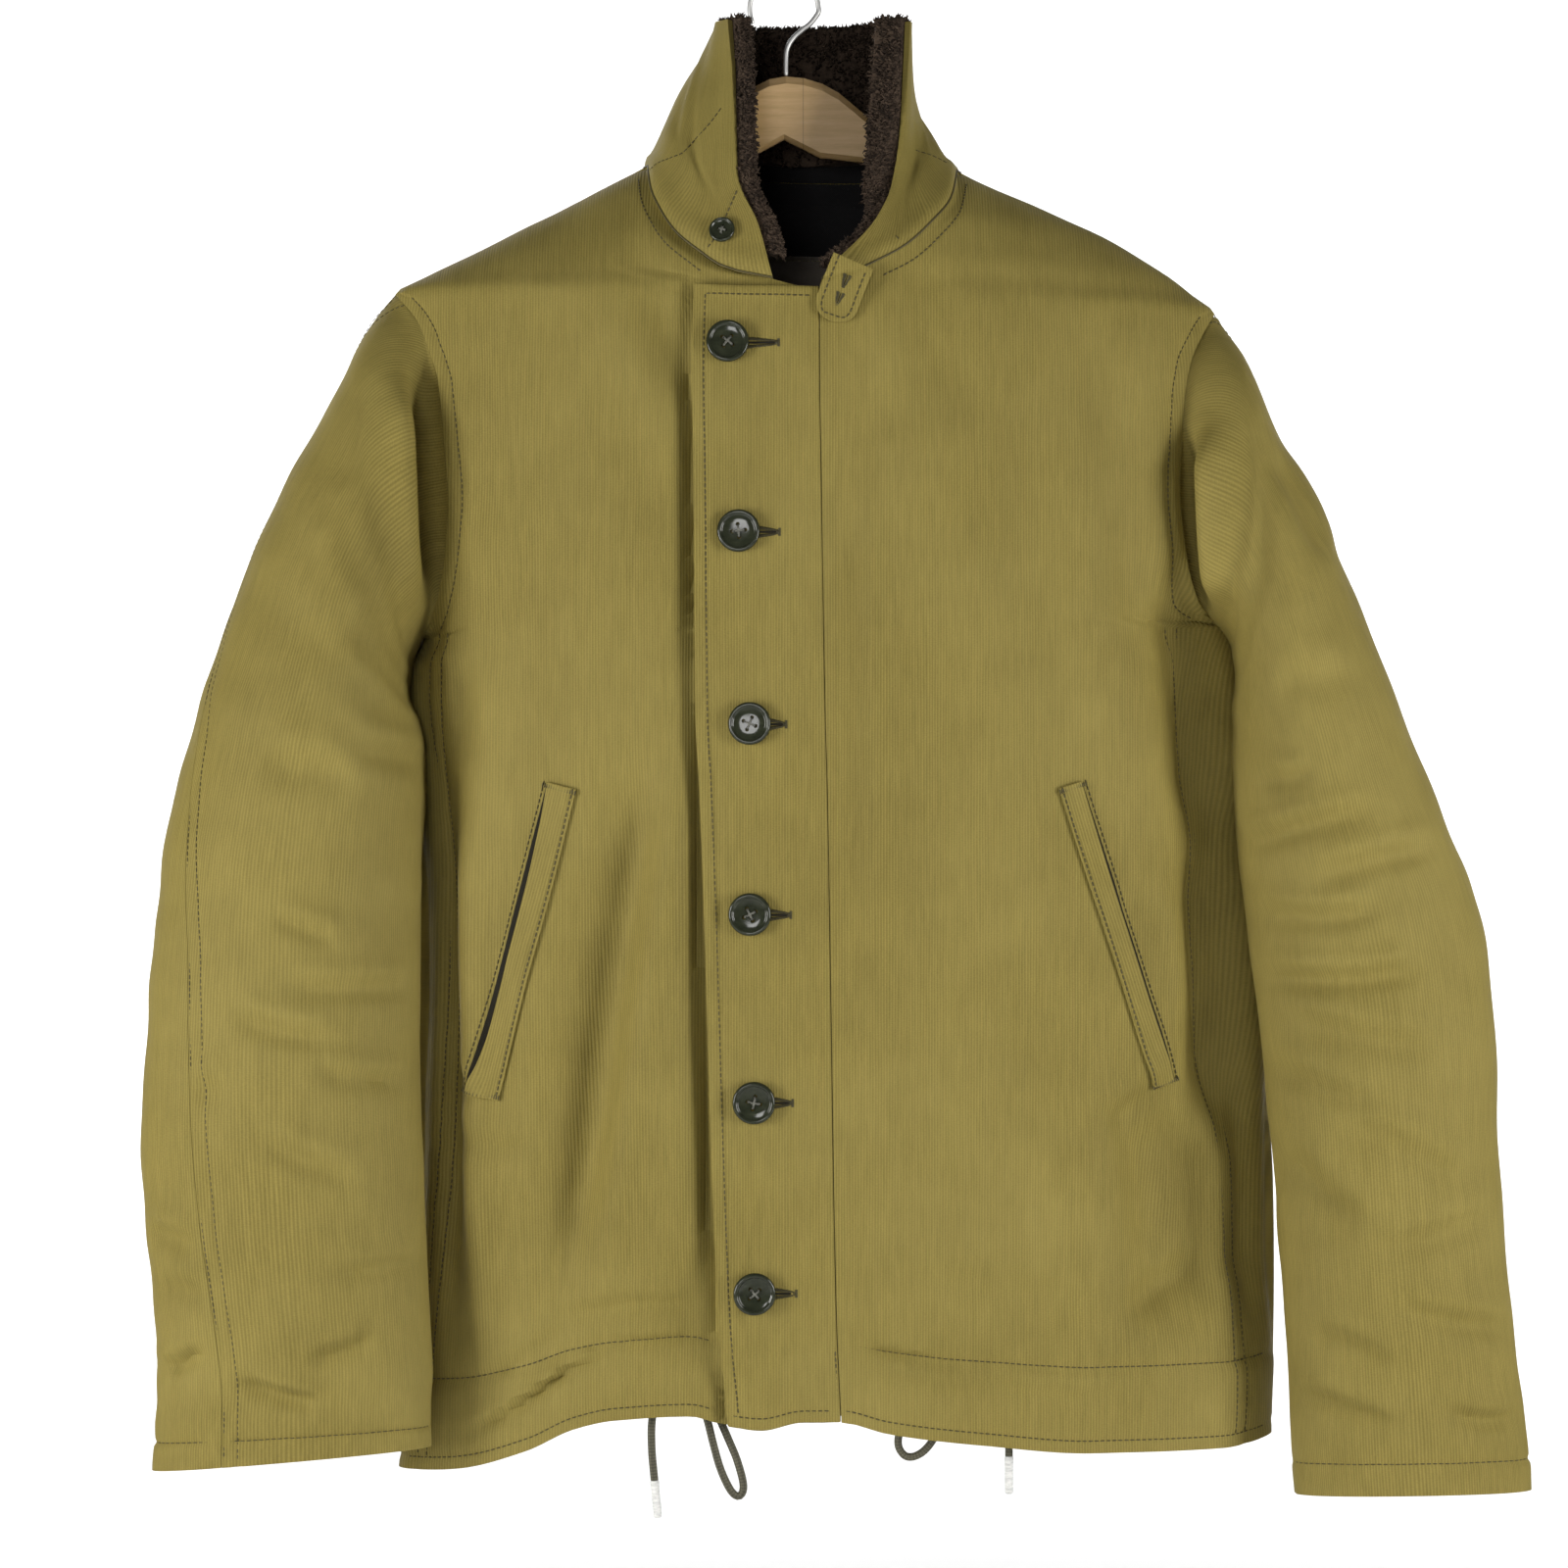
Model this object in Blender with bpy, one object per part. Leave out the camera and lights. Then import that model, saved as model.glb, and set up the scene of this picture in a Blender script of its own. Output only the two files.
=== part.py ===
"""Deck jacket hanging on a wooden hanger.

Metres, +Z up. The origin is the seat of the hanger's hook, the front faces -Y and the wearer's right
is at -X. Lengths in the tables are millimetres, angles are degrees.
"""

import math

import bmesh
import bpy
from mathutils import Vector
from mathutils.bvhtree import BVHTree

MM = 0.001

# Driving sizes in millimetres
CLOTH = 3.0
SEAM_GAP = 0.32
LAY_GAP = 0.45
SEAT_REACH = 1.2
TUCK = 4.5
PILE, PILE_RISE = 9.0, 2.0
LINING = 1.2
LABEL_WIDTH, LABEL_HEIGHT, LABEL_THICKNESS = 75.0, 40.0, 0.7
LABEL_MIDDLE, LABEL_TOP = 13.0, -146.0
BUTTON_RADIUS, BUTTON_HEIGHT = 11.4, 3.6
COLLAR_BUTTON_RADIUS, COLLAR_BUTTON_HEIGHT = 7.0, 2.8
WELT_THICKNESS = 2.0
STRAP_WIDTH, STRAP_THICKNESS = 23.0, 2.4
CORD_DIAMETER = 4.2
AGLET_DIAMETER, AGLET_LENGTH = 5.0, 20.0
HOOK_WIRE = 2.8
HOOK_RADIUS = 18.8
HANGER_THICKNESS = 13.0

# Levels of the cut, millimetres under the hook's seat
NECK_TOP = -106.0
NECK_BASE = -173.0
PLACKET_TOP = -176.5
ARM_TOP = -179.4
ARM_BASE = -360.0
HEM = -795.0

# How many rows and columns of facets the cloth has
SHOULDER_LEVELS = (-106.0, -118.0, -130.0, -142.0, -154.0, -164.0, NECK_BASE)
ARM_ROWS = 12
BODY_LEVELS = (-385.0, -415.0, -450.0, -485.0, -520.0, -555.0, -590.0, -625.0, -660.0, -695.0, -725.0,
               -744.0, -752.0, -774.0, HEM)
FRONT_COLUMNS = 10
BACK_COLUMNS = 20
PLACKET_COLUMNS = 5
COLLAR_ROWS = 6


def monotone(stations, values, at):
    """Smooth curve through a table's column that never overshoots it."""
    if stations[0] > stations[-1]:
        stations = [-s for s in stations]
        at = -at
    last = len(stations) - 1
    at = min(max(at, stations[0]), stations[-1])
    k = 0
    while k < last - 1 and at > stations[k + 1]:
        k += 1
    step = [stations[i + 1] - stations[i] for i in range(last)]
    rise = [(values[i + 1] - values[i]) / step[i] for i in range(last)]

    def slope(i):
        if i == 0 or i == last:
            return rise[min(i, last - 1)]
        if rise[i - 1] * rise[i] <= 0.0:
            return 0.0
        return 2.0 * rise[i - 1] * rise[i] / (rise[i - 1] + rise[i])

    t = (at - stations[k]) / step[k]
    start = values[k] * (1 + 2 * t) * (1 - t) ** 2 + slope(k) * step[k] * t * (1 - t) ** 2
    end = values[k + 1] * t * t * (3 - 2 * t) - slope(k + 1) * step[k] * t * t * (1 - t)
    return start + end


class Table:
    """Rows of sizes with named columns, read as smooth curves along the first column."""

    def __init__(self, columns, rows):
        self.station = [row[0] for row in rows]
        self.column = {name: [row[i] for row in rows] for i, name in enumerate(columns)}

    def at(self, name, station):
        return monotone(self.station, self.column[name], station)


# Horizontal sections of the body, from the neck over the shoulders to the hem
TORSO = Table(
    ("level", "minus_x", "plus_x", "front", "back", "roundness"),
    (
        (-97.0, -60.0, 82.0, 62.0, 52.0, 1.60),
        (-106.0, -77.0, 97.0, 64.0, 54.0, 1.60),
        (-114.0, -91.0, 114.0, 66.0, 56.0, 1.60),
        (-126.0, -114.0, 143.0, 68.0, 58.0, 1.62),
        (-137.0, -134.0, 170.0, 71.0, 60.0, 1.65),
        (-149.0, -157.0, 192.0, 73.0, 62.0, 1.70),
        (-160.0, -178.0, 211.5, 75.0, 63.0, 1.75),
        (-170.0, -198.0, 224.5, 76.0, 64.0, 1.80),
        (ARM_TOP, -213.0, 235.8, 77.5, 65.0, 1.90),
        (-225.0, -211.0, 238.5, 83.0, 68.0, 2.10),
        (-286.0, -205.0, 239.5, 87.0, 70.0, 2.30),
        (ARM_BASE, -197.5, 238.0, 90.0, 71.0, 2.40),
        (-385.0, -197.0, 240.0, 90.0, 71.0, 2.40),
        (-442.0, -198.5, 243.0, 90.0, 70.0, 2.40),
        (-550.0, -201.0, 250.0, 88.0, 66.0, 2.40),
        (-603.0, -202.0, 256.0, 85.0, 63.0, 2.40),
        (-657.0, -203.5, 262.0, 81.0, 60.0, 2.40),
        (-754.0, -207.0, 266.0, 73.0, 55.0, 2.35),
        (-803.0, -210.5, 266.5, 68.0, 52.0, 2.30),
    ),
)

# The right shoulder hangs a little higher than the left: slope of the levels along X
TILT = Table(
    ("level", "slope"),
    ((-97.0, -0.014), (NECK_TOP, -0.016), (ARM_TOP, -0.024), (ARM_BASE, 0.013), (-600.0, 0.0), (-803.0, 0.0)),
)
TILT_CENTRE = 11.5

# How far the front hem hangs under its level
HEM_DROP = Table(
    ("x", "drop"),
    (
        (-211.0, 20.0),
        (-174.0, 16.0),
        (-138.0, 5.0),
        (-113.0, -7.0),
        (-90.0, -12.5),
        (-50.0, -15.0),
        (-31.0, -10.0),
        (-12.0, -7.5),
        (10.0, -12.0),
        (30.0, -12.0),
        (56.0, -6.0),
        (107.0, 0.5),
        (168.0, 5.5),
        (236.0, 5.5),
        (267.0, 1.0),
    ),
)
HEM_DROP_START = -650.0

ARMHOLE_MINUS = Table(
    ("level", "x"),
    (
        (ARM_TOP, -213.0),
        (-196.0, -199.0),
        (-210.0, -193.0),
        (-228.0, -187.0),
        (-264.0, -183.0),
        (-289.0, -181.0),
        (-318.0, -183.0),
        (-342.0, -188.0),
        (-354.0, -192.5),
        (ARM_BASE, -197.5),
    ),
)
ARMHOLE_PLUS = Table(
    ("level", "x"),
    (
        (ARM_TOP, 235.8),
        (-196.0, 226.0),
        (-211.0, 220.0),
        (-228.0, 217.0),
        (-248.0, 215.0),
        (-283.0, 213.0),
        (-322.0, 217.0),
        (-347.0, 224.0),
        (ARM_BASE, 238.0),
    ),
)
BACK_ARMHOLE_DEPTH = 0.7

NECKLINE_MINUS = Table(
    ("level", "x"),
    (
        (NECK_TOP, -74.5),
        (-122.0, -72.0),
        (-136.0, -66.0),
        (-148.0, -58.0),
        (-159.0, -45.0),
        (-168.0, -31.0),
        (NECK_BASE, -6.0),
    ),
)
NECKLINE_PLUS = Table(
    ("level", "x"),
    (
        (NECK_TOP, 94.5),
        (-125.0, 90.0),
        (-142.0, 77.0),
        (-154.0, 64.0),
        (-162.0, 50.0),
        (-168.0, 38.0),
        (NECK_BASE, 20.0),
    ),
)

# The buttoned strip: its free edge and the seam that joins it to the left front
PLACKET = Table(
    ("level", "edge", "seam"),
    (
        (PLACKET_TOP, -48.0, 19.0),
        (-213.0, -49.0, 19.0),
        (-286.0, -48.0, 20.0),
        (-406.0, -47.0, 22.0),
        (-442.0, -45.0, 23.0),
        (-733.0, -35.0, 28.0),
        (HEM, -30.0, 30.5),
    ),
)
UNDERLAP_EDGE = 8.0
TUCK_RUN = 30.0

# Long soft folds, each a trough along a line in the front view: x1, z1, x2, z2, width and depth
FRONT_FOLDS = (
    (-66.0, -160.0, -150.0, -300.0, 16.0, 3.0),
    (28.0, -260.0, 36.0, -560.0, 15.0, 3.5),
    (168.0, -190.0, 176.0, -320.0, 12.0, 3.0),
    (-84.0, -430.0, -118.0, -680.0, 20.0, 5.0),
    (178.0, -580.0, 214.0, -700.0, 16.0, 5.0),
    (128.0, -560.0, 110.0, -740.0, 22.0, 3.5),
    (-150.0, -330.0, -172.0, -520.0, 16.0, 4.0),
    (196.0, -340.0, 214.0, -500.0, 16.0, 4.0),
)
BACK_FOLDS = (
    (-60.0, -180.0, -150.0, -330.0, 18.0, 3.5),
    (90.0, -190.0, 180.0, -340.0, 18.0, 3.5),
    (10.0, -300.0, -6.0, -640.0, 20.0, 4.0),
    (-110.0, -470.0, -130.0, -720.0, 18.0, 4.0),
    (120.0, -450.0, 150.0, -700.0, 18.0, 4.5),
)

# Sections of each sleeve from the armhole to the cuff: outer and inner point in the front view, half of
# its thickness from front to back, where its middle lies, and the angle of the elbow seam
SLEEVE_COLUMNS = ("section", "outer_x", "outer_z", "inner_x", "inner_z", "half", "middle", "seam")
SLEEVE_MINUS = Table(
    SLEEVE_COLUMNS,
    (
        (0, -213.0, -174.0, -199.0, -363.0, 50.0, 0.0, 0.0),
        (1, -226.0, -190.0, -201.5, -371.0, 62.0, -3.0, 0.0),
        (2, -244.0, -228.0, -203.0, -381.0, 70.0, -8.0, 0.0),
        (3, -267.0, -271.0, -204.0, -393.0, 72.0, -14.0, 0.0),
        (4, -287.0, -314.0, -204.0, -409.0, 70.0, -20.0, 5.0),
        (5, -303.0, -360.0, -203.5, -429.0, 67.0, -27.0, 16.0),
        (6, -317.0, -402.0, -203.0, -453.0, 63.0, -33.0, 28.0),
        (7, -328.0, -447.0, -202.0, -480.0, 59.0, -38.0, 37.0),
        (8, -336.0, -495.0, -201.0, -511.0, 55.0, -44.0, 45.0),
        (9, -339.0, -532.0, -199.0, -548.0, 51.0, -50.0, 50.0),
        (10, -342.0, -574.0, -197.0, -584.0, 48.0, -54.0, 53.0),
        (11, -344.0, -627.0, -194.0, -632.0, 44.0, -58.0, 56.0),
        (12, -342.0, -674.0, -192.0, -676.0, 40.0, -60.0, 58.0),
        (13, -338.0, -716.0, -190.0, -716.0, 35.0, -62.0, 60.0),
        (14, -335.0, -758.0, -188.0, -755.0, 29.0, -63.0, 62.0),
        (15, -336.0, -783.0, -189.0, -777.0, 24.0, -63.0, 63.0),
        (16, -337.0, -809.0, -189.0, -796.0, 19.0, -63.0, 63.0),
    ),
)
SLEEVE_PLUS = Table(
    SLEEVE_COLUMNS,
    (
        (0, 236.0, -184.0, 239.0, -358.0, 50.0, 0.0, 0.0),
        (1, 243.0, -195.0, 242.0, -366.0, 62.0, -3.0, -4.0),
        (2, 256.0, -221.0, 243.5, -376.0, 68.0, -8.0, -8.0),
        (3, 272.0, -258.0, 244.0, -389.0, 68.0, -13.0, -12.0),
        (4, 291.0, -295.0, 245.0, -405.0, 66.0, -18.0, -16.0),
        (5, 308.0, -336.0, 247.0, -425.0, 63.0, -23.0, -20.0),
        (6, 324.0, -378.0, 249.0, -448.0, 60.0, -28.0, -22.0),
        (7, 341.0, -422.0, 250.5, -475.0, 56.0, -32.0, -24.0),
        (8, 358.0, -464.0, 252.0, -505.0, 52.0, -36.0, -25.0),
        (9, 371.0, -498.0, 254.0, -540.0, 49.0, -40.0, -25.0),
        (10, 379.0, -535.0, 257.0, -577.0, 46.0, -44.0, -25.0),
        (11, 383.0, -595.0, 261.0, -622.0, 42.0, -48.0, -25.0),
        (12, 385.0, -653.0, 265.0, -667.0, 38.0, -50.0, -25.0),
        (13, 389.0, -711.0, 268.5, -716.0, 33.0, -51.0, -25.0),
        (14, 395.0, -754.0, 271.0, -759.0, 28.0, -51.0, -25.0),
        (15, 399.0, -791.0, 272.5, -793.0, 23.0, -51.0, -25.0),
        (16, 401.0, -821.0, 275.0, -823.0, 19.0, -51.0, -25.0),
    ),
)
SLEEVE_SECTIONS = 16
SLEEVE_ROUNDNESS = 2.2
SLEEVE_HEAD = 1.6

# The collar at fractions of its height: its plan and the front ends that stand open
COLLAR = Table(
    ("height", "minus_x", "plus_x", "front", "back", "minus_end", "plus_end"),
    (
        (0.0, -77.0, 97.0, 75.0, 54.0, -6.0, 28.0),
        (0.2, -69.0, 84.0, 73.0, 53.0, -14.0, 47.0),
        (0.4, -62.0, 76.0, 69.0, 52.0, -26.0, 60.0),
        (0.6, -54.0, 72.5, 63.0, 51.0, -27.0, 65.0),
        (0.8, -45.0, 71.0, 57.0, 50.0, -28.0, 67.0),
        (1.0, -38.0, 70.5, 51.0, 50.0, -30.5, 68.5),
    ),
)
COLLAR_ROUNDNESS = 2.3
COLLAR_TOP_FRONT, COLLAR_TOP_BACK = -28.0, -24.0
COLLAR_BASE_BLEND = 0.25
NECK_AIM = (9.0, 0.0, -60.0)
NECK_HALF_WIDTH, NECK_HALF_DEPTH = 87.0, 60.0

# Middles of the buttons in the front view
BUTTONS = ((-30.0, -207.0), (-24.0, -308.0), (-18.0, -410.0), (-18.0, -511.0), (-16.0, -611.0),
           (-16.0, -713.0))
COLLAR_BUTTON = (-33.0, -147.0)

# Pocket welts: the two ends of the middle line, and the width
WELT_MINUS = ((-118.5, -442.5), (-160.5, -609.5), 18.0)
WELT_PLUS = ((152.5, -442.0), (204.5, -604.0), 14.5)

STRAP_LINE = ((37.0, -164.0), (31.0, -178.0), (25.0, -196.0))

# Hanger in the front view: the arch between the shoulders and its underside
HANGER_ARCH = ((-71.0, -112.0), (-62.0, -107.5), (-52.0, -97.0), (-43.0, -86.0), (-30.0, -71.0),
               (-16.0, -60.0), (-8.0, -56.0), (1.0, -54.5), (11.0, -55.5), (21.0, -58.5), (30.0, -63.5),
               (45.0, -76.0), (62.0, -92.0), (76.0, -105.5), (90.0, -113.0))
HANGER_UNDER = ((82.0, -129.0), (43.0, -101.5), (20.0, -99.0), (0.0, -89.0), (-15.0, -97.0),
                (-38.0, -103.0), (-64.0, -124.0))
HANGER_DROP_END = 24.0
HANGER_REACH = 176.0
HANGER_CHAMFER = 4.5

# Drawcords: routes inside the front hem, down in a loop, back up and over to the free end
CORD_MINUS = (
    (-52.0, -61.5, -762.0),
    (-49.5, -56.0, -764.0),
    (-45.0, -55.5, -772.0),
    (-41.0, -55.0, -784.0),
    (-38.0, -55.0, -796.0),
    (-34.0, -54.0, -810.0),
    (-28.5, -53.5, -821.5),
    (-24.0, -53.0, -824.5),
    (-21.8, -52.5, -819.0),
    (-25.0, -52.0, -806.0),
    (-30.0, -51.0, -794.0),
    (-35.0, -50.0, -783.0),
    (-42.0, -48.5, -771.0),
    (-52.0, -48.0, -763.5),
    (-62.0, -49.0, -765.0),
    (-68.5, -51.0, -773.0),
    (-71.0, -52.0, -785.0),
    (-71.0, -52.5, -800.0),
    (-69.6, -52.5, -816.0),
)
CORD_PLUS = (
    (84.0, -58.0, -764.0),
    (81.5, -53.0, -766.0),
    (74.0, -52.5, -772.0),
    (66.5, -52.0, -781.0),
    (62.0, -52.0, -791.0),
    (61.6, -51.5, -798.0),
    (65.0, -51.0, -803.0),
    (70.0, -50.5, -803.5),
    (76.0, -49.5, -800.0),
    (82.0, -48.5, -792.0),
    (89.0, -46.0, -779.0),
    (99.0, -45.0, -769.0),
    (110.0, -46.0, -767.0),
    (118.0, -48.0, -775.0),
    (120.8, -49.0, -787.0),
    (121.0, -49.5, -803.5),
)
CORD_POINTS = 46

# Colours
KHAKI = (0.262, 0.212, 0.055, 1.0)
PILE_BROWN = (0.045, 0.030, 0.020, 1.0)
LINING_BLACK = (0.012, 0.011, 0.012, 1.0)
LABEL_GREY = (0.060, 0.050, 0.045, 1.0)
BUTTON_GREEN = (0.045, 0.052, 0.040, 1.0)
WOOD = (0.520, 0.330, 0.150, 1.0)
STEEL = (0.620, 0.620, 0.600, 1.0)
CORD_OLIVE = (0.110, 0.105, 0.065, 1.0)
AGLET_WHITE = (0.780, 0.780, 0.760, 1.0)


# Small helpers

def ease(t):
    t = min(max(t, 0.0), 1.0)
    return t * t * (3.0 - 2.0 * t)


def mix(a, b, t):
    return a + (b - a) * t


def signed_power(value, power):
    return math.copysign(abs(value) ** power, value)


# The body's form

def fold_depth(folds, x, z):
    """How far the folds press the cloth in at a place of the front view."""
    total = 0.0
    for x1, z1, x2, z2, width, depth in folds:
        along_x, along_z = x2 - x1, z2 - z1
        length = math.hypot(along_x, along_z)
        t = ((x - x1) * along_x + (z - z1) * along_z) / length ** 2
        across = ((x - x1) * along_z - (z - z1) * along_x) / length
        if -0.2 < t < 1.2:
            swell = ease((t + 0.2) / 0.5) * ease((1.2 - t) / 0.5)
            total += depth * swell * math.exp(-(across / width) ** 2)
    return total


def hem_shift(level, x, sine):
    """Extra drop of the cloth towards the uneven hem."""
    weight = ease((HEM_DROP_START - level) / (HEM_DROP_START - HEM))
    drop = HEM_DROP.at("drop", x)
    if sine > 0.0:
        drop *= 1.0 - ease(sine)
    return -weight * drop


def body_point(level, angle):
    """A point of the body's outer form. Angle 0 is the left side, 90 the back, 270 the front."""
    minus_x = TORSO.at("minus_x", level)
    plus_x = TORSO.at("plus_x", level)
    power = 2.0 / TORSO.at("roundness", level)
    cosine, sine = math.cos(angle), math.sin(angle)
    x = mix(minus_x, plus_x, 0.5) + 0.5 * (plus_x - minus_x) * signed_power(cosine, power)
    depth = TORSO.at("back" if sine > 0.0 else "front", level)
    y = depth * signed_power(sine, power)
    z = level + TILT.at("slope", level) * (x - TILT_CENTRE) + hem_shift(level, x, sine)
    facing = signed_power(sine, 0.5)
    if sine < 0.0:
        y -= facing * fold_depth(FRONT_FOLDS, x, level)
    else:
        y -= facing * fold_depth(BACK_FOLDS, x, level)
    return Vector((x, y, z))


def body_normal(level, angle):
    step_angle, step_level = 0.02, 1.5
    around = body_point(level, angle + step_angle) - body_point(level, angle - step_angle)
    down = body_point(level - step_level, angle) - body_point(level + step_level, angle)
    return down.cross(around).normalized()


def body_angle(level, x, front=True):
    """The angle at which the form passes a given X."""
    minus_x = TORSO.at("minus_x", level)
    plus_x = TORSO.at("plus_x", level)
    share = (x - 0.5 * (minus_x + plus_x)) / (0.5 * (plus_x - minus_x))
    share = min(max(share, -1.0), 1.0)
    angle = math.acos(signed_power(share, TORSO.at("roundness", level) / 2.0))
    return 2.0 * math.pi - angle if front else angle


def armhole_angle(level, side, front=True):
    """The angle of the armhole seam, or of the shoulder ridge and side seam above and below it."""
    ridge = math.pi if side < 0 else (2.0 * math.pi if front else 0.0)
    if level >= ARM_TOP or level <= ARM_BASE:
        return ridge
    table = ARMHOLE_MINUS if side < 0 else ARMHOLE_PLUS
    x = table.at("x", level)
    if not front:
        edge = TORSO.at("minus_x" if side < 0 else "plus_x", level)
        x = mix(edge, x, BACK_ARMHOLE_DEPTH)
    return body_angle(level, x, front)


def arm_levels():
    return [mix(ARM_TOP, ARM_BASE, k / ARM_ROWS) for k in range(ARM_ROWS + 1)]


def cloth_levels():
    return list(SHOULDER_LEVELS) + arm_levels() + list(BODY_LEVELS)


# Mesh makers

def material(name, colour, roughness, metallic=0.0):
    made = bpy.data.materials.new(name)
    made.use_nodes = True
    shader = made.node_tree.nodes["Principled BSDF"]
    shader.inputs["Base Color"].default_value = colour
    shader.inputs["Roughness"].default_value = roughness
    shader.inputs["Metallic"].default_value = metallic
    made.diffuse_color = colour
    return made


def add_object(name, points, faces, colour, roughness, metallic=0.0):
    mesh = bpy.data.meshes.new(name)
    mesh.from_pydata([tuple(p * MM) for p in points], [], faces)
    shaper = bmesh.new()
    shaper.from_mesh(mesh)
    bmesh.ops.recalc_face_normals(shaper, faces=shaper.faces)
    shaper.to_mesh(mesh)
    shaper.free()
    mesh.shade_smooth()
    mesh.set_sharp_from_angle(angle=math.radians(40.0))
    mesh.materials.append(material(name, colour, roughness, metallic))
    made = bpy.data.objects.new(name, mesh)
    bpy.context.scene.collection.objects.link(made)
    return made


def wall_mesh(outer, inner):
    """Points and triangles of a closed wall between two grids of the same size."""
    rows, columns = len(outer), len(outer[0])
    points = [p for row in outer for p in row] + [p for row in inner for p in row]
    shift = rows * columns
    faces = []
    for i in range(rows - 1):
        for j in range(columns - 1):
            a, b = i * columns + j, i * columns + j + 1
            c, d = a + columns, b + columns
            faces += [(a, c, b), (b, c, d)]
            faces += [(a + shift, b + shift, c + shift), (b + shift, d + shift, c + shift)]
    rim = [j for j in range(columns)]
    rim += [i * columns + columns - 1 for i in range(1, rows)]
    rim += [(rows - 1) * columns + j for j in range(columns - 2, -1, -1)]
    rim += [i * columns for i in range(rows - 2, 0, -1)]
    for k, a in enumerate(rim):
        b = rim[(k + 1) % len(rim)]
        faces += [(a, b, a + shift), (b, b + shift, a + shift)]
    return points, faces


def add_wall(name, outer, inner, colour, roughness):
    points, faces = wall_mesh(outer, inner)
    return add_object(name, points, faces, colour, roughness)


def moved(grid, normals, distance):
    """The grid moved along its normals, out where the distance is positive."""
    return [[p + n * distance for p, n in zip(row, around)] for row, around in zip(grid, normals)]


def grid_normals(grid, closed):
    """Normals of a grid, by differences between its neighbours."""
    rows, columns = len(grid), len(grid[0])
    made = []
    for i in range(rows):
        line = []
        for j in range(columns):
            before, after = (j - 1, j + 1)
            if closed:
                before, after = before % columns, after % columns
            else:
                before, after = max(before, 0), min(after, columns - 1)
            around = grid[i][after] - grid[i][before]
            down = grid[min(i + 1, rows - 1)][j] - grid[max(i - 1, 0)][j]
            line.append(down.cross(around).normalized())
        made.append(line)
    return made


def surface_tree(grids):
    """A search tree over the facets of outer grids, to lay pieces on them."""
    points, faces = [], []
    for grid in grids:
        start = len(points)
        rows, columns = len(grid), len(grid[0])
        points += [p for row in grid for p in row]
        for i in range(rows - 1):
            for j in range(columns - 1):
                a = start + i * columns + j
                faces += [(a, a + columns, a + 1), (a + 1, a + columns, a + columns + 1)]
    return BVHTree.FromPolygons([tuple(p) for p in points], faces)


def front_y(tree, x, z):
    """Where the cloth's front lies at a place of the front view."""
    far = 400.0
    place, _, _, _ = tree.ray_cast(Vector((x, -far, z)), Vector((0.0, 1.0, 0.0)))
    return place.y if place else None


def seat_y(tree, x, z):
    """The foremost cloth close round a place, so that a flat facet laid there stays clear of it."""
    near = ((0.0, 0.0), (-SEAT_REACH, 0.0), (SEAT_REACH, 0.0), (0.0, -SEAT_REACH), (0.0, SEAT_REACH))
    return min(front_y(tree, x + dx, z + dz) for dx, dz in near)


# Body panels

def panel_grids(levels, columns, start_angle, end_angle, press):
    """Outer points and normals of a panel between two edges given as angles at each level."""
    grid, normals = [], []
    for level in levels:
        first, last = start_angle(level), end_angle(level)
        row, around = [], []
        for j in range(columns + 1):
            angle = mix(first, last, j / columns)
            point = body_point(level, angle)
            point.y += press(point.x, level)
            row.append(point)
            around.append(body_normal(level, angle))
        grid.append(row)
        normals.append(around)
    return grid, normals


def part_seam(grid, normals, column, towards):
    """Move one edge column of a panel away from its seam, along the cloth."""
    for row, around in zip(grid, normals):
        inward = row[towards] - row[column]
        normal = around[column]
        inward -= normal * inward.dot(normal)
        row[column] = row[column] + inward.normalized() * (0.5 * SEAM_GAP)


def part_ridge(grid, normals, column, sign):
    """Keep a shoulder or side seam open: front and back lie on each side of the plane between them."""
    for row, around in zip(grid, normals):
        if abs(row[column].y) < 0.01:
            row[column].y = sign * 0.5 * SEAM_GAP
            around[column].y = 0.0
            around[column].normalize()


def underlap_press(x, level):
    """The right front lies under the buttoned strip."""
    edge = PLACKET.at("edge", level)
    return TUCK * ease((x - edge + TUCK_RUN) / TUCK_RUN)


def flat_press(x, level):
    return 0.0


def right_inner_angle(level):
    if level >= NECK_BASE:
        return body_angle(level, NECKLINE_MINUS.at("x", level))
    return body_angle(level, UNDERLAP_EDGE)


def left_inner_angle(level):
    if level >= NECK_BASE:
        return body_angle(level, NECKLINE_PLUS.at("x", level))
    return body_angle(level, PLACKET.at("seam", level))


def front_right():
    """The front at the wearer's right, under the strip."""
    return panel_grids(
        cloth_levels(),
        FRONT_COLUMNS,
        lambda level: armhole_angle(level, -1),
        right_inner_angle,
        underlap_press,
    )


def front_left():
    """The front at the wearer's left, up to the strip's seam."""
    return panel_grids(
        cloth_levels(),
        FRONT_COLUMNS,
        left_inner_angle,
        lambda level: armhole_angle(level, 1),
        flat_press,
    )


def placket():
    levels = [PLACKET_TOP] + arm_levels() + list(BODY_LEVELS)
    return panel_grids(
        levels,
        PLACKET_COLUMNS,
        lambda level: body_angle(level, PLACKET.at("edge", level)),
        lambda level: body_angle(level, PLACKET.at("seam", level)),
        flat_press,
    )


def back():
    return panel_grids(
        cloth_levels(),
        BACK_COLUMNS,
        lambda level: armhole_angle(level, 1, front=False),
        lambda level: armhole_angle(level, -1, front=False),
        flat_press,
    )


# Sleeves

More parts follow.
